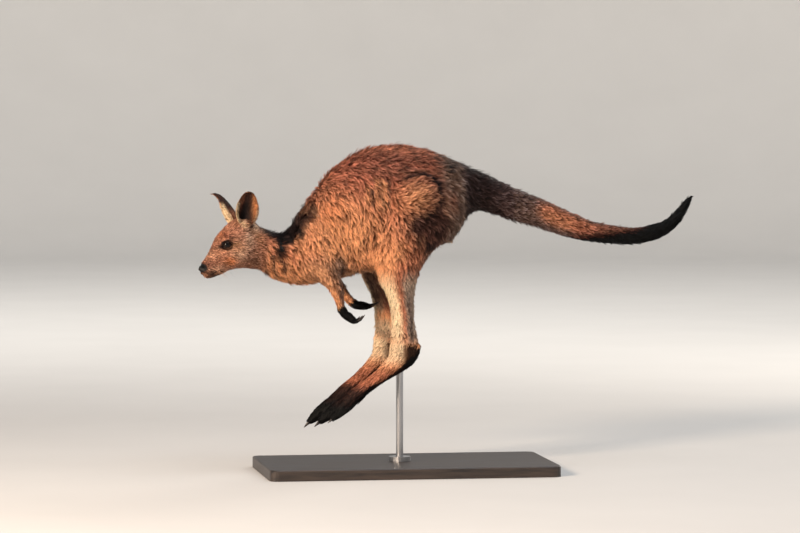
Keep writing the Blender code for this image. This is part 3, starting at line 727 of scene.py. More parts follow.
# %% [markdown]
# ## Ears
# An ear is a cupped leaf: nearly a closed tube at its root, opening to a flat tip. It can be
# written as a formula: each cross line is an arc whose radius and angle change with height.
# Two such sheets, an outer and an inner one joined at the rim, give an ear with a thickness.
# The left ear is turned out to the side, the right one forward. Their roots and directions
# are given in the head's frame, and both join the skin.

# %% Ears
# root, long axis, facing: (forward, sideways, up)
EARS = {
    "l": dict(root=(-44, -22, 44), axis=(-0.03, -0.30, 1.0), facing=(0.30, -1.0, -0.1), length=75),
    "r": dict(root=(-38, 22, 44), axis=(0.86, 0.34, 1.08), facing=(0.95, 0.42, -0.4), length=86),
}
EAR_WIDTH, EAR_INSET, EAR_SHELL = 50, 0.7, 1.3
EAR_ROOT_WIDE, EAR_GROWS, EAR_FULL = 0.42, 0.58, 0.48  # width at the root, what is added, by where
EAR_CUP, EAR_OPENS = 118, 74  # half of the cup's angle at the root, and how much it opens
EAR_ROWS, EAR_COLUMNS = 44, 31


def ear_frame(side):
    """Root and unit axes of an ear, in metres in the row frame."""
    spec = EARS[side]
    root = from_head(np.array(spec["root"]) * MM)
    axis = np.array(spec["axis"]) @ HEAD_AXES
    facing = np.array(spec["facing"]) @ HEAD_AXES
    axis /= np.linalg.norm(axis)
    over = np.cross(axis, facing)
    over /= np.linalg.norm(over)
    return root, axis, over, np.cross(over, axis), spec["length"] * MM


def ear_point(side, t, k, inner):
    """A point of the ear's sheet: t from root to tip, k from rim to rim, -1 to 1."""
    root, axis, over, facing, length = ear_frame(side)
    opening = 1 - (1 - min(t / EAR_FULL, 1)) ** 2
    tapered = math.sqrt(max(1 - t**2.6, 0.012))
    width = max(EAR_WIDTH * (EAR_ROOT_WIDE + EAR_GROWS * opening) * tapered, 3) * MM
    half_angle = math.radians(EAR_CUP - EAR_OPENS * (1 - (1 - t) ** 1.6))
    radius = width / 2 / math.sin(min(half_angle, math.pi / 2))
    thin = 1 - 0.55 * abs(k) ** 3
    shell = radius - (EAR_INSET + (EAR_SHELL * thin if inner else 0)) * MM
    ripple = 0.5 * MM * math.sin(k * 9 + t * 2) * (1 - abs(k)) * ease(t, 0.15, 0.5) if inner else 0
    a = k * half_angle
    centre = root + axis * length * t * 0.985 + facing * radius * 0.35
    return centre + over * (shell - ripple) * math.sin(a) - facing * (shell - ripple) * math.cos(a)


ear_points, ear_quads, ear_t, ear_k, ear_inside = [], [], [], [], []
for side in "lr":
    first = len(ear_points)
    for inner in (False, True):
        for row in range(EAR_ROWS):
            t = (row / (EAR_ROWS - 1)) ** 0.85
            for column in range(EAR_COLUMNS):
                k = 2 * column / (EAR_COLUMNS - 1) - 1
                ear_points.append(ear_point(side, t, k, inner))
                ear_t.append(t)
                ear_k.append(k)
                ear_inside.append(float(inner))
    inside = first + EAR_ROWS * EAR_COLUMNS
    for row in range(EAR_ROWS - 1):
        for column in range(EAR_COLUMNS - 1):
            a = row * EAR_COLUMNS + column
            square = (a, a + 1, a + EAR_COLUMNS + 1, a + EAR_COLUMNS)
            ear_quads.append(tuple(first + v for v in square))
            ear_quads.append(tuple(inside + v for v in square[::-1]))
        for column, turn in ((0, 1), (EAR_COLUMNS - 1, -1)):
            a, b = row * EAR_COLUMNS + column, (row + 1) * EAR_COLUMNS + column
            ear_quads.append((first + a, first + b, inside + b, inside + a)[::turn])
    for row, turn in ((EAR_ROWS - 1, 1), (0, -1)):
        for column in range(EAR_COLUMNS - 1):
            a = row * EAR_COLUMNS + column
            ear_quads.append((first + a, first + a + 1, inside + a + 1, inside + a)[::turn])
ear_points, ear_quads = np.array(ear_points), np.array(ear_quads)
ear_t, ear_k, ear_inside = (np.array(v, float) for v in (ear_t, ear_k, ear_inside))
print("two ears of", len(ear_quads) // 2, "faces each")

# %% [markdown]
# ## The whole skin
# Body and ears become one mesh. Every point keeps what the coat needs to know: its region's
# depth, lock length, spacing and blade width, and whether it is bare, as the nose, the lids,
# the soles and the inside of the ear are.

# %% The whole skin
body_count = len(skin_points)
body_quads = [tuple(p.vertices) for p in skin_mesh.polygons]
all_quads = body_quads + [tuple(int(v) + body_count for v in q) for q in ear_quads]
skin_points = np.concatenate([skin_points, ear_points])
skin_data = bpy.data.meshes.new("skin")
skin_data.from_pydata([tuple(p) for p in skin_points], [], all_quads)
bm = bmesh.new()
bm.from_mesh(skin_data)
ear_faces = [f for f in bm.faces if f.verts[0].index >= body_count]
bmesh.ops.recalc_face_normals(bm, faces=ear_faces)
bm.to_mesh(skin_data)
bm.free()
skin = smooth_object("skin", skin_data)
skin_data.update()
bpy.data.meshes.remove(skin_mesh)

skin_faces, skin_loops = triangles_of(skin_data)
skin_edges = np.empty(len(skin_data.edges) * 2, np.int32)
skin_data.edges.foreach_get("vertices", skin_edges)
skin_edges = skin_edges.reshape(-1, 2)
skin_normals = normals_of(skin_points, skin_faces)
neighbours = neighbour_lists(skin_edges, len(skin_points))
is_ear = np.arange(len(skin_points)) >= body_count


def with_ears(values, ear_value):
    """Adds one value for every ear point to a list of the body's values."""
    ears = np.broadcast_to(ear_value, (len(ear_points),) + values.shape[1:])
    return np.concatenate([values, ears])


region = with_ears(region, REGIONS.index("ear"))
coat_fields = with_ears(coat_fields, np.array(COAT["ear"]) * MM)
eye_share = with_ears(eye_share, FAR_FROM_EYE)
nose_pad = with_ears(nose_pad, 0.0)
lip_near = with_ears(lip_near, 0.0)
no_ear = np.zeros(body_count)
ear_t, ear_k, ear_inside = (np.concatenate([no_ear, v]) for v in (ear_t, ear_k, ear_inside))
print("whole skin:", len(skin_points), "points,", len(skin_faces), "triangles")

# %% [markdown]
# ## The lie of the coat
# Hair has a direction everywhere: back from the nose over the skull, back and down the flanks,
# down the legs, along the tail, and in a fan over the bulge of the thigh. Each region gets one
# plain direction, laid flat on the skin, and the directions are then spread over the skin so
# that they turn smoothly from one region into the next.

# %% Soft noise and the lie of the coat
LIE_ROUNDS, LIE_STEPS = 4, 12


def cloud(points, size, seed):
    """Soft noise between -1 and 1 that changes over about this distance."""
    cell = points / size + seed * 17.31
    low = np.floor(cell).astype(np.int64)
    t = cell - low
    t = t * t * (3 - 2 * t)
    total = np.zeros(len(points))
    for dx in (0, 1):
        for dy in (0, 1):
            for dz in (0, 1):
                x, y, z = low[:, 0] + dx, low[:, 1] + dy, low[:, 2] + dz
                mixed = (x * 73856093) ^ (y * 19349663) ^ (z * 83492791) ^ (seed * 2654435)
                mixed = (mixed ^ (mixed >> 13)) * 1274126177 & 0xFFFFFF
                weight = (np.where(dx, t[:, 0], 1 - t[:, 0]) * np.where(dy, t[:, 1], 1 - t[:, 1])
                          * np.where(dz, t[:, 2], 1 - t[:, 2]))
                total += weight * (mixed / 0x7FFFFF - 1)
    return total


def numbers_of(*names):
    return [REGIONS.index(n) for n in names]


def is_region(*names):
    return np.isin(region, numbers_of(*names))


x, y, z = (skin_points / MM).T
nx, ny, nz = skin_normals.T
f, s, u = (in_head(skin_points) / MM).T


def set_lie(chosen, back, up):
    """Points the hair of some places back (+X) and up (+Z), each a number or one per point."""
    lie[chosen, 0] = np.broadcast_to(back, x.shape)[chosen]
    lie[chosen, 2] = np.broadcast_to(up, x.shape)[chosen]


lie = np.zeros_like(skin_points)
low_down = 1 - ease(z, 470, 740)
flank = bump(x, -70, 62) * (1 - ease(z, 610, 690))
set_lie(
    is_region("trunk"),
    1.0 - 0.35 * low_down - 0.6 * flank,
    -0.22 - 0.95 * low_down - 0.5 * flank,
)
set_lie(
    is_region("neck"),
    1.0 - 0.3 * (1 - ease(z, 470, 530)),
    -0.25 - 0.85 * (1 - ease(z, 450, 540)),
)
head_lie = np.stack([
    -np.ones_like(f),
    0.25 * np.sign(s) * ease(f, -20, 40),
    0.35 * ease(u, 0, 40) - 0.25 * ease(-u, 0, 40),
], 1)
lie[is_region("head")] = (head_lie @ HEAD_AXES)[is_region("head")]
fan = bump(x, 12, 44) * bump(z, 604, 40)
set_lie(
    is_region("thigh"),
    0.5 + 0.35 * ease(x, 20, 90) - 0.25 * ease(560 - z, 0, 80) + fan * (x + 26) / 30,
    -0.85 + fan * (0.85 + (z - 584) / 26),
)
set_lie(is_region("shank"), 0.28, -1)
set_lie(is_region("foot"), -0.62, -0.78)
set_lie(is_region("upper_arm"), 0.42, -0.9)
set_lie(is_region("forearm") & (y < 0), 0.2, -1)
set_lie(is_region("forearm") & (y > 0), 0.52, -0.85)
set_lie(is_region("hand") & (y < 0), 0.8, -0.55)
set_lie(is_region("hand") & (y > 0), 1.0, -0.1)
set_lie(is_region("tail_1", "tail_2", "tail_3"), 1.0, -0.25 + 0.9 * ease(x, 500, 600))
for side, sign in SIDES:
    _, axis, over, facing, _ = ear_frame(side)
    here = is_ear & (np.sign(s + sign * 0.01) == sign)
    inward = np.sign(ear_k[here])[:, None] * over * 0.9 + facing * 0.5
    lie[here] = axis + ear_inside[here, None] * inward


def unit(directions):
    return directions / np.maximum(np.linalg.norm(directions, axis=-1, keepdims=True), 1e-9)


def laid_flat(directions, normals):
    """Directions pressed flat on the surface, of length 1."""
    return unit(directions - (directions * normals).sum(-1, keepdims=True) * normals)


for _ in range(LIE_ROUNDS):
    lie = spread(laid_flat(lie, skin_normals), LIE_STEPS)
lie = laid_flat(lie, skin_normals)
print("the coat's direction is set at", len(lie), "points")

# %% [markdown]
# ## Markings, with painted shade and light
# The colours are painted by rule: a rusty ground, a darker saddle, sandy flanks, a dark nape
# and rump, cream down the front and inside of the hind legs, a tail that goes from grey-brown
# through rust to black, and black hands, toes and heels. Some marks are painted light and
# shade: dark strokes in the hollow round the thigh, in the creases before it and in the folds
# of the neck, with paler strokes beside them; shade under the thigh's bulge, under the jaw and
# the tail, under and behind the arms and high inside the hind legs; a paler crest on the bulge,
# paler fronts of the arms and a paler patch behind the upper arm. The nape, the root of the
# tail and the hollow between neck and shoulder are dark fur, and the middle of the ear's cup
# dark skin, deepened with painted shade. Each marking is a soft mask made of places and
# directions. Skin and coat both take their colour from this one list, so they always agree.

# %% Colours
def paint(red, green, blue):
    """A colour given as on a screen, 0 to 255, as the linear values that Blender mixes."""
    c = np.array([red, green, blue]) / 255
    return np.where(c <= 0.04045, c / 12.92, ((c + 0.055) / 1.055) ** 2.4)


RUST = paint(165, 99, 73)
BRIGHT_RUST = paint(196, 116, 70)
SADDLE = paint(110, 63, 51)
SANDY = paint(228, 160, 114)
CREAM = paint(253, 228, 190)
PALE_BELLY = paint(196, 160, 128)
GREY_BROWN = paint(108, 84, 73)
DARK_BROWN = paint(58, 36, 30)
TAIL_GREY = paint(84, 68, 67)
GRIZZLE = paint(176, 148, 126)
FACE_BROWN = paint(168, 113, 88)
BLACK = paint(7, 5, 5)
FRINGE = paint(232, 206, 166)
EAR_ORANGE = paint(204, 132, 84)
DARK_RUST = paint(134, 70, 54)
PALE_SAND = paint(242, 171, 120)
NEAR_BLACK = paint(34, 22, 20)
PALE_GREY = paint(176, 156, 138)
PALE_MUZZLE = paint(214, 160, 128)
BORDER_STEPS = 26
# lines on the animal's sides, as (x, z) in mm
# The hollow round the thigh's bulge, where shade is painted.
THIGH_HOLLOW_SHADE = [  # round the bulge of the thigh
    (-21, 644), (-5, 652), (18, 656), (40, 647), (53, 630), (58, 606), (51, 585), (34, 573),
    (18, 559),
]
# Creases in front of the thigh, where shade is painted, with painted light beside them.
CREASE_SHADE_LINES = [  # in front of the thigh
    [(-71, 650), (-69, 622), (-64, 596)],
    [(-54, 648), (-54, 620), (-48, 594)],
    [(-88, 634), (-87, 606)],
]
# Folds down the neck, where shade is painted, with painted light beside them.
NECK_FOLD_SHADE_LINES = [  # down the neck
    [(-339, 512), (-338, 482), (-334, 455)],
    [(-324, 504), (-318, 470), (-311, 440)],
    [(-304, 486), (-298, 455), (-292, 433)],
    [(-280, 476), (-275, 450)],
]
# The nape's line: dark fur there, deepened with painted shade.
NAPE_AND_SHADE_LINE = [(-338, 562), (-314, 541), (-292, 526), (-270, 521), (-250, 534), (-228, 566), (-209, 588)]

colour = np.tile(RUST, (len(skin_points), 1))
part_share = spread(np.eye(len(REGIONS))[region], BORDER_STEPS)


def on(*names):
    """How much each point belongs to some regions, soft at their borders."""
    return part_share[:, numbers_of(*names)].sum(1)


def mark(new, mask):
    """Lays a colour over what is there, as strongly as the mask says."""
    global colour
    colour = colour + (new - colour) * np.clip(mask, 0, 1)[:, None]


def spot(cx, cz, wide, high):
    """A soft patch on the animal's sides, in mm."""
    return bump(x, cx, wide) * bump(z, cz, high)


def stroke(line, wide):
    """A soft line on the animal's sides through some places, in mm."""
    return bump(distance_to_line(x, z, line)[0], 0, wide)


def mark_spots(where, spots):
    """Marks soft patches: each is a colour, a strength, the middle (x, z) and the reach (x, z)."""
    for new, strength, *place in spots:
        mark(new, strength * where * spot(*place))


def mark_face(spots):
    """As mark_spots, for the head: forward middle and reach, then upward middle and reach."""
    for new, strength, f0, f_reach, u0, u_reach in spots:
        mark(new, strength * head * bump(f, f0, f_reach) * bump(u, u0, u_reach))


LEG_HEIGHTS = [262, 318, 357, 390, 421, 450, 478, 520]
leg_front = np.interp(z, LEG_HEIGHTS, [-46, -40, -42, -50, -66, -76, -79, -76])
leg_rear = np.interp(z, LEG_HEIGHTS, [24, 16, 12, 12, 16, 26, 52, 100])
leg_shift = np.where(y > 0, -19, 0)
across_leg = (x - leg_shift - leg_front) / (leg_rear - leg_front)
leg, foot, head = on("thigh", "shank"), on("foot"), on("head")
tail = on("tail_1", "tail_2", "tail_3")
neck_trunk = on("neck", "trunk")
body = on("trunk", "thigh", "neck", "upper_arm")
inner_leg = ease(-ny * np.sign(y), 0.1, 0.7) * leg

# saddle, back and rump
mark(DARK_RUST, 0.85 * body * ease(z, 570, 625) * (x > -260) * (1 - 0.8 * ease(z, 684, 708)))
mark(SADDLE, 0.8 * body * bump(x, -40, 74) * ease(z, 632, 672) * (1 - 0.85 * ease(z, 690, 712)))
mark(SADDLE, 0.45 * body * spot(-196, 630, 44, 34))
mark(GREY_BROWN, on("trunk", "thigh") * ease(x, 34, 80) * ease(z, 470, 530))
# flank, chest and belly
mark_spots(body, [
    (SANDY, 0.95, -150, 540, 74, 56),
    (SANDY, 0.9, -120, 496, 70, 36),
    (PALE_SAND, 0.75, -144, 534, 66, 56),
    (SANDY, 0.6, -66, 520, 30, 30),
])
# Painted shade in the creases before the thigh, and painted light just in front of each.
for line in CREASE_SHADE_LINES:
    mark(DARK_BROWN, 1.2 * body * stroke(line, 3.2))
    mark(PALE_SAND, 0.6 * body * stroke([(a - 10, b) for a, b in line], 4.5))
mark_spots(body, [(BRIGHT_RUST, 0.5, -180, 585, 30, 40), (SANDY, 0.6, -242, 502, 16, 24)])
mark(PALE_SAND, 0.85 * body * bump(x, -250, 84) * (1 - ease(z, 446, 486)))
mark(SADDLE, 0.6 * body * spot(-204, 612, 22, 22))
mark(PALE_BELLY, 0.75 * on("trunk") * ease(-nz, 0.55, 0.95) * (x > -230))
# thigh: painted light on the bulge, painted shade in the hollows about it, and the cream front of
# the leg
# Painted highlight: the crest of the thigh's bulge made sandy.
mark_spots(body, [(SANDY, 0.8, 4, 608, 34, 27), (RUST, 0.5, 84, 606, 12, 24)])
# Painted shade: a near-black stroke in the hollow round the thigh's bulge.
mark(NEAR_BLACK, 1.15 * body * stroke(THIGH_HOLLOW_SHADE, 7.5))
# Painted shade: under the thigh's bulge, in the fold over it, and near-black at the top of the rump
# before the tail.
mark_spots(body, [
    (DARK_BROWN, 1.3, 48, 552, 34, 36),
    (DARK_BROWN, 1.2, 8, 554, 28, 33),
    (NEAR_BLACK, 0.65, 84, 676, 20, 24),
    (DARK_BROWN, 0.6, -12, 664, 36, 8),
    (DARK_BROWN, 1.2, 40, 514, 24, 24),
])
mark(PALE_SAND, 0.9 * leg * (1 - ease(across_leg, 0.22, 0.48)) * (1 - ease(z, 486, 530)))
mark(CREAM, leg * (1 - ease(across_leg, 0.24, 0.48)) * (1 - ease(z, 410, 462)))
mark(PALE_SAND, 0.9 * inner_leg * (1 - ease(z, 345, 372)))
mark(CREAM, 0.8 * inner_leg * (1 - ease(z, 325, 352)) * (1 - ease(across_leg, 0.5, 0.9)))
# Painted shade high on the inside of the hind legs, where one leg shades the other, over brown fur.
mark(SADDLE, 0.8 * inner_leg * ease(z, 345, 375))
mark(DARK_BROWN, 0.85 * inner_leg * ease(z, 358, 392))
leg_rear_outside = ease(across_leg, 0.46, 0.66) * (1 - inner_leg)
grey_rear = on("shank", "foot") * leg_rear_outside
mark(PALE_GREY, 0.92 * grey_rear * ease(z, 272, 290) * (1 - ease(z, 420, 470)))
tendon = bump(across_leg, 0.70, 0.085) * (1 - inner_leg)
mark(TAIL_GREY, 0.85 * leg * tendon * (1 - ease(z, 390, 430)))
mark(GREY_BROWN, 0.8 * on("thigh") * ease(across_leg, 0.60, 0.90) * (1 - ease(z, 470, 520)))
# nape and neck: the nape is dark fur, deepened with painted shade
nape_far, nape_along = distance_to_line(x, z, NAPE_AND_SHADE_LINE)
nape_width = np.interp(nape_along, [0, 0.5, 1], [12, 16, 9])
nape_width = nape_width * (1 + 0.15 * cloud(skin_points, 20 * MM, 21))
nape_and_shade = on("neck", "trunk", "head") * (1 - 0.3 * nape_along**2)
nape_and_shade = nape_and_shade * (1 - ease(nape_far / nape_width, 0.7, 1.35))
mark(BRIGHT_RUST, 0.5 * on("neck") * spot(-300, 458, 50, 22))
# Painted shade in the folds down the neck, and painted light on the fur just behind each.
for line in NECK_FOLD_SHADE_LINES:
    mark(DARK_BROWN, 1.1 * neck_trunk * stroke(line, 4))
    mark(PALE_SAND, 0.5 * neck_trunk * stroke([(a + 10, b) for a, b in line], 5))
mark(PALE_SAND, 0.7 * neck_trunk * (1 - ease(z, 432, 452)))
mark(DARK_BROWN, 0.6 * on("neck", "head") * spot(-340, 466, 14, 11))
# The nape: dark fur, deepened with painted shade.
mark(NEAR_BLACK, 1.15 * nape_and_shade)
# Black in the hollow between neck and shoulder: dark fur and painted shadow.
mark(BLACK, 1.3 * neck_trunk * spot(-288, 501, 12, 24))
# feet and arms
down_foot = (272 - z) / 150
behind = 0.62 * nx - 0.78 * nz
mark(SANDY, 0.9 * foot * (1 - ease(down_foot, 0.2, 0.4)))
mark(CREAM, 0.9 * foot * (1 - ease(down_foot, 0.02, 0.26)) * (1 - ease(across_leg, 0.40, 0.62)))
mark(RUST, 0.95 * foot * ease(down_foot, 0.12, 0.36))
mark(DARK_RUST, foot * ease(down_foot, 0.42, 0.55) * 0.9)
mark(DARK_BROWN, foot * ease(down_foot, 0.46, 0.58))
mark(BLACK, 0.6 * foot * ease(down_foot, 0.56, 0.70))
mark(BLACK, foot * ease(down_foot, 0.68, 0.84))
sole = ease(behind, 0.10, 0.45) * foot
mark(BLACK, 0.96 * sole)
heel = ease(behind - 0.02 * (x - leg_shift - 14), -0.20, 0.04) * (1 - ease(z, 284, 296))
mark(BLACK, 0.96 * on("foot", "shank") * heel * ease(x - leg_shift, -30, 0))
# Painted light on the front of the arms and painted shade on their rear.
mark(PALE_SAND, 0.95 * on("forearm", "upper_arm") * ease(-nx, -0.5, 0.2) * (1 - ease(z, 450, 490)))
mark(GREY_BROWN, 0.8 * on("forearm", "upper_arm") * ease(nx, -0.1, 0.5))
mark(GREY_BROWN, 0.45 * on("upper_arm") * (1 - ease(z, 470, 500)))
# Painted shade under the upper arm, and painted light lifting the hollow behind it.
mark_spots(on("upper_arm", "trunk"), [
    (DARK_BROWN, 0.8, -150, 448, 14, 13),
    (PALE_SAND, 0.85, -172, 506, 20, 20),
])
mark(BLACK, on("forearm") * (1 - ease(z, 366, 384)) + on("hand") * 1.6)
# tail
mark(TAIL_GREY, 0.95 * (tail + on("trunk") * ease(z, 560, 600)) * ease(x, 88, 126))
# The root of the tail: dark fur, deepened with painted shade where the rump shades it.
mark(NEAR_BLACK, 0.92 * (tail + on("trunk")) * ease(x, 94, 130) * (1 - ease(x, 165, 265)))
mark(RUST, 0.95 * tail * ease(x, 270, 312) * ease(nz, -0.7, 0.0) * (1 - 0.6 * ease(nz, 0.45, 0.9)))
mark(SANDY, 0.3 * tail * bump(x, 330, 40) * bump(nz, 0, 0.4))
# Painted shade: darker rust under the tail.
mark(DARK_RUST, 0.9 * tail * ease(x, 350, 400) * ease(-nz, -0.3, 0.4))
mark(SADDLE, 0.8 * tail * ease(x - 30 * nz, 375, 425))
mark(BLACK, tail * ease(x - 80 * nz, 396, 470))
# head
mark(FACE_BROWN, head * (1 - 0.6 * nape_and_shade))
mark_face([
    (GRIZZLE, 0.8, -22, 19, -14, 20),
    (GRIZZLE, 0.7, -44, 12, 12, 22),
    (GRIZZLE, 0.45, 24, 22, -52, 9),
    (PALE_MUZZLE, 0.7, 36, 15, -22, 8),
    (BRIGHT_RUST, 0.85, -4, 11, -34, 10),
    (BRIGHT_RUST, 0.6, 9, 9, 19, 8),
    (DARK_RUST, 0.6, 4, 9, 18, 4.5),
])
mark(SADDLE, 0.7 * head * bump(f, 40, 13) * bump(u, -42, 8) * (1 - bump(s, 0, 6)))
# Painted shade: near-black along the underside of the jaw.
mark(NEAR_BLACK, 0.75 * head * ease(-u, 54, 64) * ease(f, -40, -6) * (1 - ease(f, 34, 48)))
mark_face([(DARK_BROWN, 0.6, -60, 13, -36, 18)])
mark(DARK_BROWN, 0.75 * head * bump(f, 34, 15) * bump(u, -58, 3.5) * (np.abs(s) > 4))
mark_face([(PALE_MUZZLE, 0.8, 50, 8, -66, 3.5)])
mark(DARK_BROWN, 0.5 * head * bump(f, -10, 18) * bump(u, 14 - 0.1 * f, 2.5))
mark(BLACK, 0.9 * head * ease(lip_near, 0.15, 0.6))
mark(BLACK, (head > 0.5) * (1 - ease(eye_share, 1.12, 1.32)))
tear = head * bump(u + 4 + 0.3 * (f - 12), 0, 4.2) * ease(f, 7, 11) * (1 - ease(f, 18, 26))
tear += head * bump(u - 2.5 - 0.3 * (-f - 11), 0, 4.8) * ease(-f, 7, 11) * (1 - ease(-f, 19, 26))
mark(BLACK, 0.95 * tear)
mark_face([(DARK_BROWN, 0.7, 50, 10, -50, 12)])
mark(BLACK, ease(nose_pad, 0.02, 0.35))
mark(SANDY, 0.7 * on("head", "neck") * bump(f, -68, 9) * bump(u, 18, 13))
mark_face([(SANDY, 0.45, -18, 15, -6, 12)])
ear_root = np.abs(s) > 12
mark(BLACK, 0.9 * head * bump(f, -48, 7) * bump(u, 38, 13) * ear_root)
mark(FRINGE, 0.75 * head * bump(f, -34, 5) * bump(u, 43, 9) * ear_root)
mark(FRINGE, 0.55 * head * bump(f, -62, 6) * bump(u, 36, 11) * ear_root)
# ears
outer_ear = is_ear & (ear_inside < 0.5)
inner_ear = is_ear & (ear_inside > 0.5)
front_rim = np.where(s < 0, -ear_k, ear_k)
mark(DARK_BROWN, is_ear)
mark(RUST, 0.5 * outer_ear * (1 - ease(ear_t, 0.15, 0.5)))
# The middle of the cup near the root: dark skin, deepened with painted shade where the rim shades
# it.
mark(BLACK, 0.9 * inner_ear * bump(ear_k, -0.12, 0.46) * (1 - ease(ear_t, 0.5, 0.85)))
mark(RUST, 0.5 * inner_ear * bump(ear_k, -0.6, 0.2) * bump(ear_t, 0.62, 0.25))
mark(EAR_ORANGE, 0.95 * inner_ear * bump(ear_k, 0.66, 0.3) * bump(ear_t, 0.5, 0.32))
mark(FRINGE, 0.95 * is_ear * ease(front_rim, 0.58, 0.76) * (1 - ease(ear_t, 0.36, 0.66)))
mark(FRINGE, 0.85 * inner_ear * ease(-front_rim, 0.78, 0.92) * (1 - ease(ear_t, 0.30, 0.55)))
mark(EAR_ORANGE, 0.6 * is_ear * ease(np.abs(ear_k), 0.93, 1.0) * ease(ear_t, 0.3, 0.7))

patches = 0.5 * cloud(skin_points, 42 * MM, 3) + 0.5 * cloud(skin_points, 15 * MM, 5)
colour = colour * (1 + 0.16 * patches)[:, None]
colour = np.clip(colour, 0.004, 0.95)
bare = np.clip(nose_pad + (1 - ease(eye_share, 1.08, 1.18)) + 0.8 * sole * ease(down_foot, 0.5, 0.8)
               + 0.6 * ease(lip_near, 0.4, 0.8), 0, 1)
print("markings laid over", len(colour), "points of the skin")

# %% [markdown]
# ## Unwrapping the skin
# The coat's colours can be baked to an image, and then each lock needs its own small patch of
# that image. An unwrap of the skin gives every root a place; a lock's patch lies there, 3
# thousandths of the image across.

# %% The unwrap
BAKE_MAP = "OFBake"
skin_data.uv_layers.new(name=BAKE_MAP)
bpy.context.view_layer.objects.active = skin
skin.select_set(True)
bpy.ops.object.mode_set(mode="EDIT")
bpy.ops.mesh.select_all(action="SELECT")
bpy.ops.uv.smart_project(angle_limit=math.radians(66), island_margin=0.0015)
bpy.ops.object.mode_set(mode="OBJECT")
skin.select_set(False)
skin_uv = np.empty(len(skin_data.loops) * 2, np.float32)
skin_data.uv_layers[BAKE_MAP].data.foreach_get("uv", skin_uv)
skin_uv = skin_uv.reshape(-1, 2)
print("unwrap reaches from", skin_uv.min(0).round(3), "to", skin_uv.max(0).round(3))

# %% [markdown]
# ## Finish of skin and coat
# Both finishes start from the painted markings, among them painted shade and light. On the
# skin, a fine bump stands for the short flat hair and a noise breaks the colour up; bare
# places, as the nose, are darker and damper, and under the coat the skin is darkened as painted
# shade deep in the fur. The blades of the coat only need a little variation along their length.

# %% Skin and coat finishes
def new_material(name):
    made = bpy.data.materials.new(name)
    made.use_nodes = True
    return made, made.node_tree, made.node_tree.nodes["Principled BSDF"]


def feed(nodes, node, values):
    """Fills a node's sockets, each with a number or with another node's output."""
    for socket, value in values.items():
        if isinstance(value, bpy.types.NodeSocket):
            nodes.links.new(value, node.inputs[socket])
        else:
            node.inputs[socket].default_value = value


def add_node(nodes, kind, values=None, **settings):
    node = nodes.nodes.new("ShaderNode" + kind)
    for key, value in settings.items():
        setattr(node, key, value)
    feed(nodes, node, values or {})
    return node


def places_on(nodes, scale=None):
    """Places on the object, stretched along its axes if asked."""
    places = add_node(nodes, "TexCoord").outputs["Object"]
    if scale is None:
        return places
    return add_node(nodes, "Mapping", {"Vector": places, "Scale": scale}).outputs[0]


def noise(nodes, places, scale, detail, distortion=0.0):
    values = {"Vector": places, "Scale": scale, "Detail": detail, "Distortion": distortion}
    return add_node(nodes, "TexNoise", values).outputs["Fac"]


def ranged(nodes, value, low, high, start=0.0, end=1.0):
    """A value from start to end turned into one from low to high."""
    values = {"Value": value, "From Min": start, "From Max": end, "To Min": low, "To Max": high}
    return add_node(nodes, "MapRange", values).outputs["Result"]


def relief(nodes, height, strength, distance):
    """A bump that stands for fine relief, as a normal."""
    values = {"Height": height, "Strength": strength, "Distance": distance}
    return add_node(nodes, "Bump", values).outputs["Normal"]


def toned(nodes, base, places, scale, low, high):
    """The base colour made darker and lighter by a noise, from low to high."""
    tone = ranged(nodes, noise(nodes, places, scale, 3.0), low, high, 0.3, 0.7)
    return add_node(nodes, "VectorMath", {0: base, 1: tone}, operation="MULTIPLY").outputs[0]


def kept_value(nodes, name, output):
    """What the mesh keeps under this name at its points."""
    return add_node(nodes, "Attribute", attribute_name=name).outputs[output]


def store_painted_colours(mesh, colours):
    """Gives every point of a mesh its colour."""
    kept_colours = mesh.color_attributes.new("markings", "FLOAT_COLOR", "POINT")
    rgba = np.hstack([colours, np.ones((len(colours), 1))])
    kept_colours.data.foreach_set("color", rgba.astype(np.float32).ravel())


skin_material, nodes, shader = new_material("skin")
places = places_on(nodes)
feed(nodes, shader, {
    "Base Color": toned(nodes, kept_value(nodes, "markings", "Color"), places, 420, 0.62, 1.0),
    "Normal": relief(nodes, noise(nodes, places, 900, 4.0), 0.35, 0.0006),
    "Roughness": ranged(nodes, kept_value(nodes, "bare", "Fac"), 0.72, 0.5),
    "Specular IOR Level": 0.16,
})

coat_material, nodes, shader = new_material("coat")
painted = kept_value(nodes, "markings", "Color")
feed(nodes, shader, {
    "Base Color": toned(nodes, painted, places_on(nodes), 260, 0.86, 1.14),
    "Roughness": 0.6,
    "Specular IOR Level": 0.12,
})

# Where the coat grows, the skin's colour is taken down to 38 per cent: painted shade deep in the
# fur. Bare places keep their full colour.
store_painted_colours(skin_data, colour * (0.38 + 0.62 * bare)[:, None])
bare_places = skin_data.attributes.new("bare", "FLOAT", "POINT")
bare_places.data.foreach_set("value", bare.astype(np.float32))
skin_data.materials.append(skin_material)
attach(skin, "root")
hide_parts(*FLESH, "ear_l", "ear_r")
print("skin finished and set in place of", len(FLESH) + 2, "solids")

# %% [markdown]
# ## Roots of the locks
# Real fur could be a hair system, but a shared model needs plain mesh, so each lock is a tuft
# of a few thin blades. The roots are spread by dropping many points on the skin and keeping
# one in each small cell of space, which gives an even but not regular scatter. The cells
# follow the coat table: small on face, hands and feet, larger on the body.

# %% Roots
def mixed(values, triangles, weights):
    """A value at points inside triangles, from the values at their corners."""
    corners = values[triangles]
    w = weights.reshape(weights.shape + (1,) * (corners.ndim - 2))
    return (corners * w).sum(1)


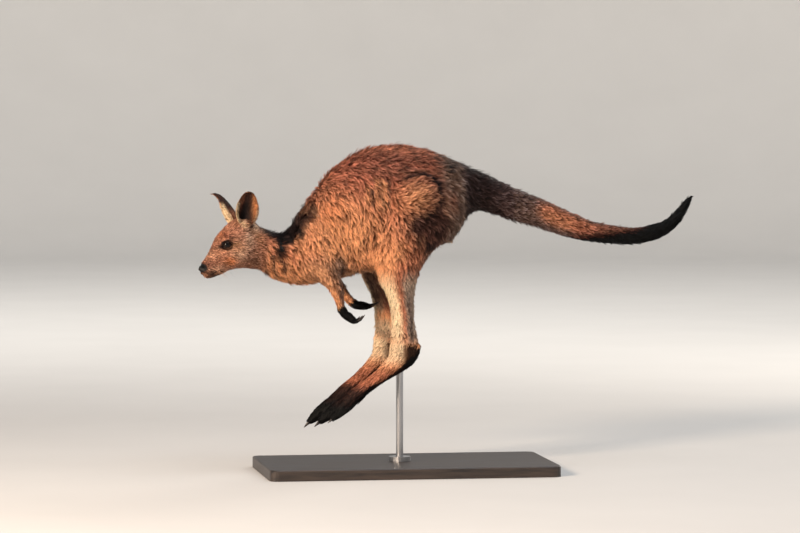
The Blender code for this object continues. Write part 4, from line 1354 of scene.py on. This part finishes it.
DROPS = 7.0  # points dropped for every lock that is wanted
LEVEL = 0.25 * MM  # spacings are rounded to this, so that neighbours share one size of cell
CELL = 1.22  # the side of a cell, in spacings
MIDDLE = 5000  # keeps the cells' numbers above 0
BASE = 16384  # more than there are cells in a row

face_spacing = coat_fields[:, 2][skin_faces].mean(1)
wanted = DROPS * triangle_areas(skin_points, skin_faces) / face_spacing**2
pick = np.repeat(np.arange(len(wanted)), rng.poisson(wanted))
weights = rng.dirichlet((1, 1, 1), len(pick))
roots = mixed(skin_points, skin_faces[pick], weights)
level = np.round(face_spacing[pick] / LEVEL).astype(np.int64)
cell = np.floor(roots / (level * LEVEL * CELL)[:, None]).astype(np.int64) + MIDDLE
key = ((level * BASE + cell[:, 0]) * BASE + cell[:, 1]) * BASE + cell[:, 2]
_, kept = np.unique(key, return_index=True)
hairless = np.stack([eye_share, nose_pad, lip_near, bare], 1)
at_eye, at_nose, at_lips, at_bare = mixed(hairless, skin_faces[pick[kept]], weights[kept]).T
kept = kept[(at_eye > 1.10) & (at_nose < 0.35) & (at_lips < 0.75) & (at_bare < 0.7)]
pick, weights, roots = pick[kept], weights[kept], roots[kept]
root_normal = unit(mixed(skin_normals, skin_faces[pick], weights))
root_coat = mixed(coat_fields, skin_faces[pick], weights)
root_colour = mixed(colour, skin_faces[pick], weights)
root_uv = (skin_uv[skin_loops[pick]] * weights[:, :, None]).sum(1)
nearest = skin_faces[pick, weights.argmax(1)]
print(len(roots), "locks to grow")

# %% [markdown]
# ## Guides
# A guide is the middle line of one lock. It starts at the root and walks over the skin along
# the lie of the coat in three steps, rising from just under the skin to the coat's full
# depth. Two turns are added to the lie: a wandering one shared by neighbours, and a small one
# of its own. Then the tips are drawn towards shared gathering lines, which makes the clumps
# that a real coat parts into.

# %% Guides
def turned(directions, normals, angle):
    """Directions turned on the surface by an angle each."""
    across = np.cross(normals, directions)
    return directions * np.cos(angle)[:, None] + across * np.sin(angle)[:, None]


WANDER, OWN_TURN = np.radians(16), np.radians(9)
STANDING, STAND_HIGH = 0.14, 1.6  # the share of locks that stand up, and how much higher
LEAST_LONG, LONG_RANGE = 0.72, 0.5
LEAST_HIGH, HIGH_RANGE = 0.55, 0.5
RISE = (-0.12, 0.48, 0.84, 1.0)  # height at the root and after each step, in coat depths
GATHERED = (0.0, 0.26, 0.58, 0.80)  # how far it is drawn to its gathering line there
SWAY, FULL_TURN = 0.07, 6.28
GATHER_FINE, GATHER_BODY = 1.7, 2.3  # the size of a clump, in spacings of the locks
ALIKE, CLOSE = 0.6, 2.2  # locks are drawn together only if they lie alike and close

skin_tree = tree_of(skin_points)
size = len(roots)
angle = WANDER * cloud(roots, 26 * MM, 11) + OWN_TURN * cloud(roots, 9 * MM, 12)
angle += OWN_TURN * rng.standard_normal(size)
long = root_coat[:, 1] * (LEAST_LONG + LONG_RANGE * rng.random(size))
long = long * (1 + 0.18 * cloud(roots, 18 * MM, 13))
high = root_coat[:, 0] * (LEAST_HIGH + HIGH_RANGE * rng.random(size))
high = high * (1 + 0.22 * cloud(roots, 14 * MM, 14))
high *= np.where(rng.random(size) < STANDING, STAND_HIGH, 1)
root_region = region[nearest]
root_face = in_head(roots)[:, 0] / MM
on_face = (root_region == REGIONS.index("head")) * ease(root_face, -14, 34)
long *= 1 - 0.42 * on_face
high *= 1 - 0.50 * on_face
high *= np.where(root_region == REGIONS.index("hand"), 1.5, 1)
claw_places = np.array([centre_of(name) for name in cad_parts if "claw" in name])
claw_far = np.linalg.norm(roots[:, None] - claw_places[None], axis=2).min(1) / MM
clear_of_claws = ease(claw_far, 10, 26)
at_lips = ease(lip_near[nearest], 0.15, 0.6)
long *= 0.35 + 0.65 * clear_of_claws
high *= 0.5 + 0.5 * clear_of_claws
long *= 1 - 0.5 * at_lips
high *= 1 - 0.6 * at_lips
rim = ease(np.abs(ear_k[nearest]), 0.62, 0.80) * is_ear[nearest]
fringe = rim * (1 - ease(ear_t[nearest], 0.45, 0.75))
long *= 1 + 1.1 * fringe
high *= 1 + 2.2 * fringe

stations, station_normals = [roots], [root_normal]
here, at = roots, nearest
for step in range(3):
    heading = turned(laid_flat(lie[at], skin_normals[at]), skin_normals[at], angle)
    there = here + heading * (long / 3)[:, None]
    at = np.array([skin_tree.find(p)[1] for p in there])
    off = ((there - skin_points[at]) * skin_normals[at]).sum(1)
    here = there - off[:, None] * skin_normals[at]
    stations.append(here)
    station_normals.append(skin_normals[at])

fine = np.isin(root_region, numbers_of("head", "ear", "hand", "foot", "forearm"))
gather = root_coat[:, 2] * np.where(fine, GATHER_FINE, GATHER_BODY)
gather_cell = np.floor(roots / gather[:, None] + 0.01 * cloud(roots, 5 * MM, 9)[:, None])
gather_key = gather_cell.astype(np.int64) @ np.array([1, 4096, 4096**2])
_, leaders = np.unique(gather_key, return_index=True)
leader_tree = tree_of(roots[leaders])
leader = leaders[[leader_tree.find(p)[1] for p in roots]]
guides = np.stack([place + normal * (rise * high)[:, None]
                   for place, normal, rise in zip(stations, station_normals, RISE)], 1)
guide_normals = np.stack(station_normals, 1)
bond = (0.62 + 0.45 * rng.random(size))[:, None] * np.array(GATHERED)
alike = ((guide_normals[:, 3] * guide_normals[leader, 3]).sum(1) > ALIKE)[:, None]
close = np.linalg.norm(guides[leader, 3] - guides[:, 3], axis=1)[:, None] < CLOSE * gather[:, None]
guides += (guides[leader] - guides) * (bond * alike * close)[:, :, None]
phase = (FULL_TURN * rng.random(size))[leader]
sway = np.cross(root_normal, heading) * (SWAY * long * (root_coat[:, 4] / MM))[:, None]
for step in (1, 2, 3):
    guides[:, step] += sway * np.sin(phase + 2.3 * step)[:, None]
away = roots - roots[leader]
away = (away - (away * root_normal).sum(1)[:, None] * root_normal) / (0.5 * gather)[:, None]
away /= np.maximum(1, np.linalg.norm(away, axis=1))[:, None]
reach = np.linalg.norm(guides[:, 3] - guides[:, 0], axis=1)
print("guides run", round(float(reach.mean() / MM), 1), "mm and meet in", len(leaders), "clumps")

# %% [markdown]
# ## Blades
# Every lock gets four thin blades, or three on head, ears, hands and feet, side by side at the
# root and drawn together at the tip. A blade is five triangles: two strips and a point. Its
# shading normal leans mostly on the skin's, so the coat shades as one soft body and not as
# chips. The colour is the marking at the root, darker there, partly for the darker underfur and
# partly as painted shade deep in the coat, and lighter towards the tip, partly for pale tips and
# partly as painted light. A piece stays under 200,000 triangles: each part of the body has its
# own, one for each side where it can be, and one that would still be too large is cut in two.

# %% Coat pieces
BLADE_WIDTHS = (0.75, 1.0, 0.72, 0.0)  # from the root to the tip
# Dark at the root partly for the underfur and partly as painted shade deep in the coat; light at
# the tip partly for pale tips and partly as painted light.
ROOT_SHADE_TIP_LIGHT = (0.18, 0.46, 0.96, 1.50)  # how dark or light it is there
STRIPS = np.array([[0, 1, 3], [0, 3, 2], [2, 3, 5], [2, 5, 4], [4, 5, 6]])
CORNERS, TRIANGLES = 7, 5  # of one blade
PATCH = 0.003
MOST_TRIANGLES = 190000
PALE_TIP = 0.10 * paint(240, 200, 160)
LIGHTEST = 0.80
WARM = np.array([0.92, 1.06, 1.10])  # powers of a tone: dark locks turn warmer, light ones paler
CLUMPS_DIFFER, LOCKS_DIFFER, BLADES_DIFFER = 0.27, 0.32, 0.2
DARK_CLUMPS, DARK_CLUMP_TONE = 0.14, 0.5
SEATS_WIDE, SEAT_WANDER, LIFT_WANDER, AHEAD_WANDER = 1.15, 0.25, 0.16, 0.12
TILT, MOST_TILT = np.radians(26), 1.6
DRAWN_IN, DRAWN_POWER = 0.72, 1.3  # how much blades close up towards the tip
contrast = root_coat[:, 4] / MM + 0.5 * bump(root_face, -84, 30)
clump_tone = np.exp(CLUMPS_DIFFER * rng.standard_normal(size))
clump_tone[rng.random(size) < DARK_CLUMPS] *= DARK_CLUMP_TONE
lock_tone = (clump_tone[leader] * np.exp(LOCKS_DIFFER * rng.standard_normal(size))) ** contrast


def blades(chosen, per_lock):
    """Points, normals, colours and map places of the blades of some locks."""
    n = len(chosen)
    middle, normal = guides[chosen], guide_normals[chosen]
    along = laid_flat(np.gradient(middle, axis=1), normal)
    across = np.cross(along, normal)
    coat = root_coat[chosen]
    all_points, all_normals, all_colours, all_places = [], [], [], []
    for blade in range(per_lock):
        seat = (blade + 0.5) / per_lock - 0.5
        shift = seat * coat[:, 2] * SEATS_WIDE + SEAT_WANDER * coat[:, 2] * rng.standard_normal(n)
        lift = LIFT_WANDER * coat[:, 0] * rng.standard_normal(n)
        ahead = AHEAD_WANDER * coat[:, 1] * rng.standard_normal(n)
        tilt = TILT * rng.standard_normal(n).clip(-MOST_TILT, MOST_TILT)
        cos_tilt, sin_tilt = np.cos(tilt)[:, None], np.sin(tilt)[:, None]
        tone = lock_tone[chosen] * (1 + BLADES_DIFFER * rng.standard_normal(n)).clip(0.4)
        width = coat[:, 3] * (0.8 + 0.4 * rng.random(n))
        for station in range(4):
            t = station / 3
            spread_out = shift * (1 - DRAWN_IN * t**DRAWN_POWER)
            up, over, on_way = normal[:, station], across[:, station], along[:, station]
            centre = (middle[:, station] + over * spread_out[:, None]
                      + up * (lift * t)[:, None] + on_way * (ahead * t)[:, None])
            side = over * cos_tilt + up * sin_tilt
            facing = up * cos_tilt - over * sin_tilt
            soft = up * 0.55 + facing * 0.45 + away[chosen] * (0.5 * t) + on_way * 0.15 * t
            # Painted shade towards the root and painted light towards the tip, as strong as the
            # region's contrast.
            painted_shade_along = 1 + (ROOT_SHADE_TIP_LIGHT[station] - 1) * contrast[chosen].clip(0, 1)
            most = LIGHTEST / root_colour[chosen].max(1)
            shade = root_colour[chosen] * np.minimum(painted_shade_along * tone, most)[:, None] ** WARM
            shade = shade + (root_colour[chosen, :1] > 0.08) * PALE_TIP * t**3
            ends = (-1, 1) if station < 3 else (0,)
            for end in ends:
                half_width = end * BLADE_WIDTHS[station] * width / 2
                all_points.append(centre + side * half_width[:, None])
                all_normals.append(soft + side * end * 0.28)
                all_colours.append(shade)
                u = (blade + 0.5 + 0.35 * end) / per_lock - 0.5
                all_places.append(root_uv[chosen] + np.array([u * PATCH, (t - 0.5) * PATCH]))
    corners = CORNERS * per_lock
    lists = (all_points, all_normals, all_colours, all_places)
    points, normals, colours, places = (np.stack(v, 1).reshape(n * corners, -1) for v in lists)
    faces = (STRIPS[None] + CORNERS * np.arange(per_lock)[:, None, None]).reshape(-1, 3)
    faces = (faces[None] + corners * np.arange(n)[:, None, None]).reshape(-1, 3)
    return points, unit(normals), colours, places, faces


def coat_piece(name, chosen, per_lock, slot):
    """Mesh objects of blades, with their colours, their map and their shading normals."""
    if len(chosen) * per_lock * TRIANGLES > MOST_TRIANGLES:
        front = roots[chosen, 0] < np.median(roots[chosen, 0])
        coat_piece(name + "_front", chosen[front], per_lock, slot)
        coat_piece(name + "_rear", chosen[~front], per_lock, slot)
        return
    points, normals, colours, places, faces = blades(chosen, per_lock)
    data = bpy.data.meshes.new(name)
    data.vertices.add(len(points))
    data.vertices.foreach_set("co", points.astype(np.float32).ravel())
    data.loops.add(faces.size)
    data.loops.foreach_set("vertex_index", faces.astype(np.int32).ravel())
    data.polygons.add(len(faces))
    data.polygons.foreach_set("loop_start", np.arange(0, faces.size, 3, dtype=np.int32))
    data.update(calc_edges=True)
    piece = smooth_object(name, data)
    store_painted_colours(data, colours.clip(0, 1))
    on_map = places[faces.ravel()].clip(0.0005, 0.9995).astype(np.float32)
    data.uv_layers.new(name=BAKE_MAP).data.foreach_set("uv", on_map.ravel())
    data.normals_split_custom_set_from_vertices(normals.astype(np.float32))
    data.materials.append(coat_material)
    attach(piece, "root")
    triangles[name] = len(faces)


triangles = {}
is_left = roots[:, 1] < 0
GROUPS = {  # regions, blades in a lock, slot
    "head": (("head",), 3, "fur"),
    "neck": (("neck",), 4, "fur"),
    "trunk": (("trunk",), 4, "fur"),
    "thigh": (("thigh",), 4, "fur"),
    "leg": (("shank",), 4, "fur"),
    "foot": (("foot",), 3, "paw"),
    "arm": (("upper_arm", "forearm"), 4, "fur"),
    "hand": (("hand",), 3, "paw"),
    "tail": (("tail_1", "tail_2", "tail_3"), 4, "tail_fur"),
    "ear": (("ear",), 3, "ear"),
}
for name, (regions, per_lock, slot) in GROUPS.items():
    here = np.isin(root_region, numbers_of(*regions))
    if name in ("head", "neck", "tail"):
        coat_piece("coat_" + name, np.flatnonzero(here), per_lock, slot)
    else:
        coat_piece(f"coat_{name}_l", np.flatnonzero(here & is_left), per_lock, slot)
        coat_piece(f"coat_{name}_r", np.flatnonzero(here & ~is_left), per_lock, slot)
total, largest = sum(triangles.values()), max(triangles.values())
print("coat:", total, "triangles in", len(triangles), "pieces, the largest", largest)

# %% [markdown]
# ## Eyes
# A kangaroo's eye is large, dark and wet, with a wide brown iris. The ball is a sphere that
# swells a little at the front, where the clear cornea sits; iris and pupil are zones of its
# colour and a hard clear layer gives the shine.

# %% Eyeballs
BALL, CORNEA, CORNEA_WIDE = 0.985, 0.055, 0.62


def eyeball(side, sign):
    """A finely made ball, with a swelling where the cornea is."""
    centre = EYE_CENTRE[side]
    axis = unit(np.array((0.30, sign, 0.10))) @ HEAD_AXES
    up = laid_flat(HEAD_AXES[2], axis)
    wide_axis = np.cross(axis, up)
    points, faces = [], []
    rings, around = 40, 56
    for i in range(rings + 1):
        a = math.pi * i / rings
        r = EYE_RADIUS * (BALL + CORNEA * math.exp(-((a / CORNEA_WIDE) ** 4)))
        for j in range(around):
            b = 2 * math.pi * j / around
            sideways = up * math.cos(b) + wide_axis * math.sin(b)
            points.append(centre + r * (axis * math.cos(a) + math.sin(a) * sideways))
    for i in range(rings):
        for j in range(around):
            n = (j + 1) % around
            a, b = i * around, (i + 1) * around
            faces.append((a + j, b + j, b + n, a + n))
    data = bpy.data.meshes.new("eyeball_" + side)
    data.from_pydata([tuple(p) for p in points], [], faces)
    bm = bmesh.new()
    bm.from_mesh(data)
    bmesh.ops.remove_doubles(bm, verts=bm.verts, dist=1e-6)
    bmesh.ops.recalc_face_normals(bm, faces=bm.faces)
    bm.to_mesh(data)
    bm.free()
    out = data.attributes.new("off_axis", "FLOAT", "POINT")
    for k, v in enumerate(data.vertices):
        way = unit(np.array(v.co) - centre)
        out.data[k].value = math.acos(max(-1, min(1, float(way @ axis))))
    ball = smooth_object("eyeball_" + side, data)
    data.materials.append(eye_material)
    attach(ball, "root")
    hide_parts("eye_" + side)


def ramped(nodes, value, stops):
    """A value from 0 to 1 turned into a colour, through two or more stops."""
    ramp = add_node(nodes, "ValToRGB", {"Fac": value})
    elements = ramp.color_ramp.elements
    for k, (place, shade) in enumerate(stops):
        stop = elements[k] if k < 2 else elements.new(place)
        stop.position, stop.color = place, (*shade, 1)
    return ramp.outputs["Color"]


eye_material, nodes, shader = new_material("eyeball")
eye_zone = ranged(nodes, kept_value(nodes, "off_axis", "Fac"), 0.0, 1.0, end=1.6)
feed(nodes, shader, {
    "Base Color": ramped(nodes, eye_zone, (
        (0.20, (0.002, 0.002, 0.002)),  # pupil
        (0.26, (0.012, 0.006, 0.003)),  # iris
        (0.44, (0.008, 0.004, 0.003)),
        (0.54, (0.003, 0.002, 0.002)),  # its dark ring
        (0.80, (0.02, 0.014, 0.012)),  # the white, which is dark here
    )),
    "Roughness": 0.25,
    "Specular IOR Level": 0.04,
    "Coat Weight": 0.8,
    "Coat IOR": 1.26,
    "Coat Roughness": 0.03,
})
for side, sign in SIDES:
    eyeball(side, sign)
print("two eyeballs of", round(EYE_RADIUS / MM * 2, 1), "mm")

# %% [markdown]
# ## Whiskers and lashes
# Whiskers and lashes are too thick for the coat and too thin for a form of their own. Each is
# a three-sided hair that bends once and thins to its tip. Lashes grow from the rim of the upper
# lid; whiskers from the side of the upper lip, the chin, the cheek and over the eye.

# %% Whiskers and lashes
def stiff_hairs(name, hairs, shades):
    """One mesh of bent, tapered hairs; each is (root, direction, droop, length, width)."""
    points, faces, tints = [], [], []
    for (root, way, droop, length, width), tint in zip(hairs, shades):
        way = unit(way)
        side = unit(np.cross(way, droop) + 1e-6)
        first = len(points)
        for k in range(6):
            t = k / 5
            centre = root + way * length * t + droop * length * t * t
            for c in range(3):
                a = 2 * math.pi * c / 3
                ring = side * math.cos(a) + unit(np.cross(way, side)) * math.sin(a)
                points.append(centre + ring * width / 2 * (1 - 0.9 * t))
                tints.append(tint)
            if k:
                b = first + 3 * (k - 1)
                for c in range(3):
                    n = (c + 1) % 3
                    faces.append((b + c, b + n, b + 3 + n, b + 3 + c))
    data = bpy.data.meshes.new(name)
    data.from_pydata([tuple(p) for p in points], [], faces)
    made = smooth_object(name, data)
    store_painted_colours(data, tints)
    data.materials.append(coat_material)
    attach(made, "root")
    return len(hairs)


def on_the_skin(place):
    """The skin's point nearest to a place in the head's frame, in mm, and its normal."""
    index = skin_tree.find(from_head(np.array(place, float) * MM))[1]
    return skin_points[index], skin_normals[index]


LASHES = 34
# rows of whiskers on each side: where the first one stands (forward, up), and how many
WHISKERS = ((42, -50, 5), (38, -54, 6), (33, -57, 5), (30, -66, 4), (8, -50, 3), (10, 20, 4))
WHISKER_GAP, WHISKER_DROOP = 4.2, np.array([0, 0, -0.22])

lashes, whiskers = [], []
for sign in (-1, 1):
    out, fore, rise = eye_axes(sign)
    for k in range(LASHES):
        t = -0.95 + 1.9 * (k + rng.uniform(-0.3, 0.3)) / (LASHES - 1)
        px = (OPEN_FRONT if t > 0 else OPEN_REAR) * t * 1.03
        py = OPEN_UP * 1.03 * math.sqrt(max(1 - t * t, 0))
        pz = math.sqrt(max((EYE_MM + LID) ** 2 - px**2 - py**2, 1))
        on_lid = px * fore + py * rise + pz * out + eye_place(sign)
        root = from_head(on_lid * MM)
        way = (0.75 * out + 0.35 * rise + (0.30 * t + rng.uniform(-0.1, 0.1)) * fore) @ HEAD_AXES
        droop = (-0.55 * rise + 0.10 * out) @ HEAD_AXES
        lashes.append((root, way, droop, rng.uniform(6.5, 9.0) * MM, 0.42 * MM))
    for f0, u0, count in WHISKERS:
        for k in range(count):
            base, normal = on_the_skin((f0 - WHISKER_GAP * k, sign * 30, u0 + rng.uniform(-1, 1)))
            way = normal * 0.65 - FORWARD * rng.uniform(0.5, 0.9) + UP * rng.uniform(-0.35, 0.15)
            length = rng.uniform(18, 38) * MM
            whiskers.append((base, way, WHISKER_DROOP, length, 0.34 * MM))
grown = stiff_hairs("lashes", lashes, [BLACK] * len(lashes))
whisker_shades = [DARK_BROWN if rng.random() < 0.6 else PALE_MUZZLE for _ in whiskers]
grown += stiff_hairs("whiskers", whiskers, whisker_shades)
print(grown, "lashes and whiskers")

# %% [markdown]
# ## Claws
# The claws keep their solids' shape. Welding the corners and subdividing rounds them, and a
# horn finish, mottled and roughened by one fine noise, does the rest.

# %% Claws
horn, nodes, shader = new_material("horn")
streaks = noise(nodes, places_on(nodes), 380, 5.0)
HORN_SHADES = ((0.0, (0.006, 0.005, 0.005)), (1.0, (0.045, 0.034, 0.028)))
feed(nodes, shader, {
    "Base Color": ramped(nodes, streaks, HORN_SHADES),
    "Normal": relief(nodes, streaks, 0.3, 0.0003),
    "Roughness": 0.32,
})
claws = [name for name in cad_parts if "claw" in name]
for name in claws:
    claw = bpy.data.objects[name]
    claw.modifiers.new("weld", "WELD").merge_threshold = 1e-5
    claw.modifiers.new("round", "SUBSURF").levels = 2
    claw.modifiers["round"].render_levels = 2
    claw.data.materials.clear()
    claw.data.materials.append(horn)
print(len(claws), "claws rounded and finished")

# %% [markdown]
# ## Display stand
# A dark stained board, a turned collar and a plain steel rod. The wood is long, thin noise
# laid along the board; the steel is fine noise stretched round the rod, as a lathe leaves it.

# %% Stand
wood, nodes, shader = new_material("stained_wood")
grain = noise(nodes, places_on(nodes, (1.2, 16.0, 16.0)), 9.0, 8.0, 0.6)
WOOD_SHADES = ((0.3, (0.012, 0.009, 0.008)), (0.72, (0.050, 0.034, 0.026)))
feed(nodes, shader, {
    "Base Color": ramped(nodes, grain, WOOD_SHADES),
    "Normal": relief(nodes, grain, 0.25, 0.0005),
    "Roughness": ranged(nodes, grain, 0.34, 0.5),
})

steel, nodes, shader = new_material("turned_steel")
lines = noise(nodes, places_on(nodes, (4.0, 4.0, 900.0)), 3.0, 3.0)
feed(nodes, shader, {
    "Base Color": (0.42, 0.42, 0.43, 1),
    "Metallic": 1.0,
    "Normal": relief(nodes, lines, 0.12, 0.0002),
    "Roughness": ranged(nodes, lines, 0.2, 0.42),
})
for name, finish in (("stand_base", wood), ("stand_collar", steel), ("stand_rod", steel)):
    bpy.data.objects[name].data.materials.clear()
    bpy.data.objects[name].data.materials.append(finish)
print("stand finished")

# %% [markdown]
# ## Floor finish and last measure
# The floor is pale and matt with a faint mottle. Last, the size of what is now in the scene is
# printed.

# %% Floor finish and sizes
matt, nodes, shader = new_material("pale_floor")
pale = add_node(nodes, "RGB").outputs[0]
pale.default_value = (0.62, 0.60, 0.57, 1)
feed(nodes, shader, {
    "Base Color": toned(nodes, pale, places_on(nodes), 3.0, 0.97, 1.0),
    "Roughness": 0.85,
})
floor.data.materials.append(matt)

low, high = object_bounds()
print("model ", [round((b - a) / MM, 1) for a, b in zip(low, high)], "mm")
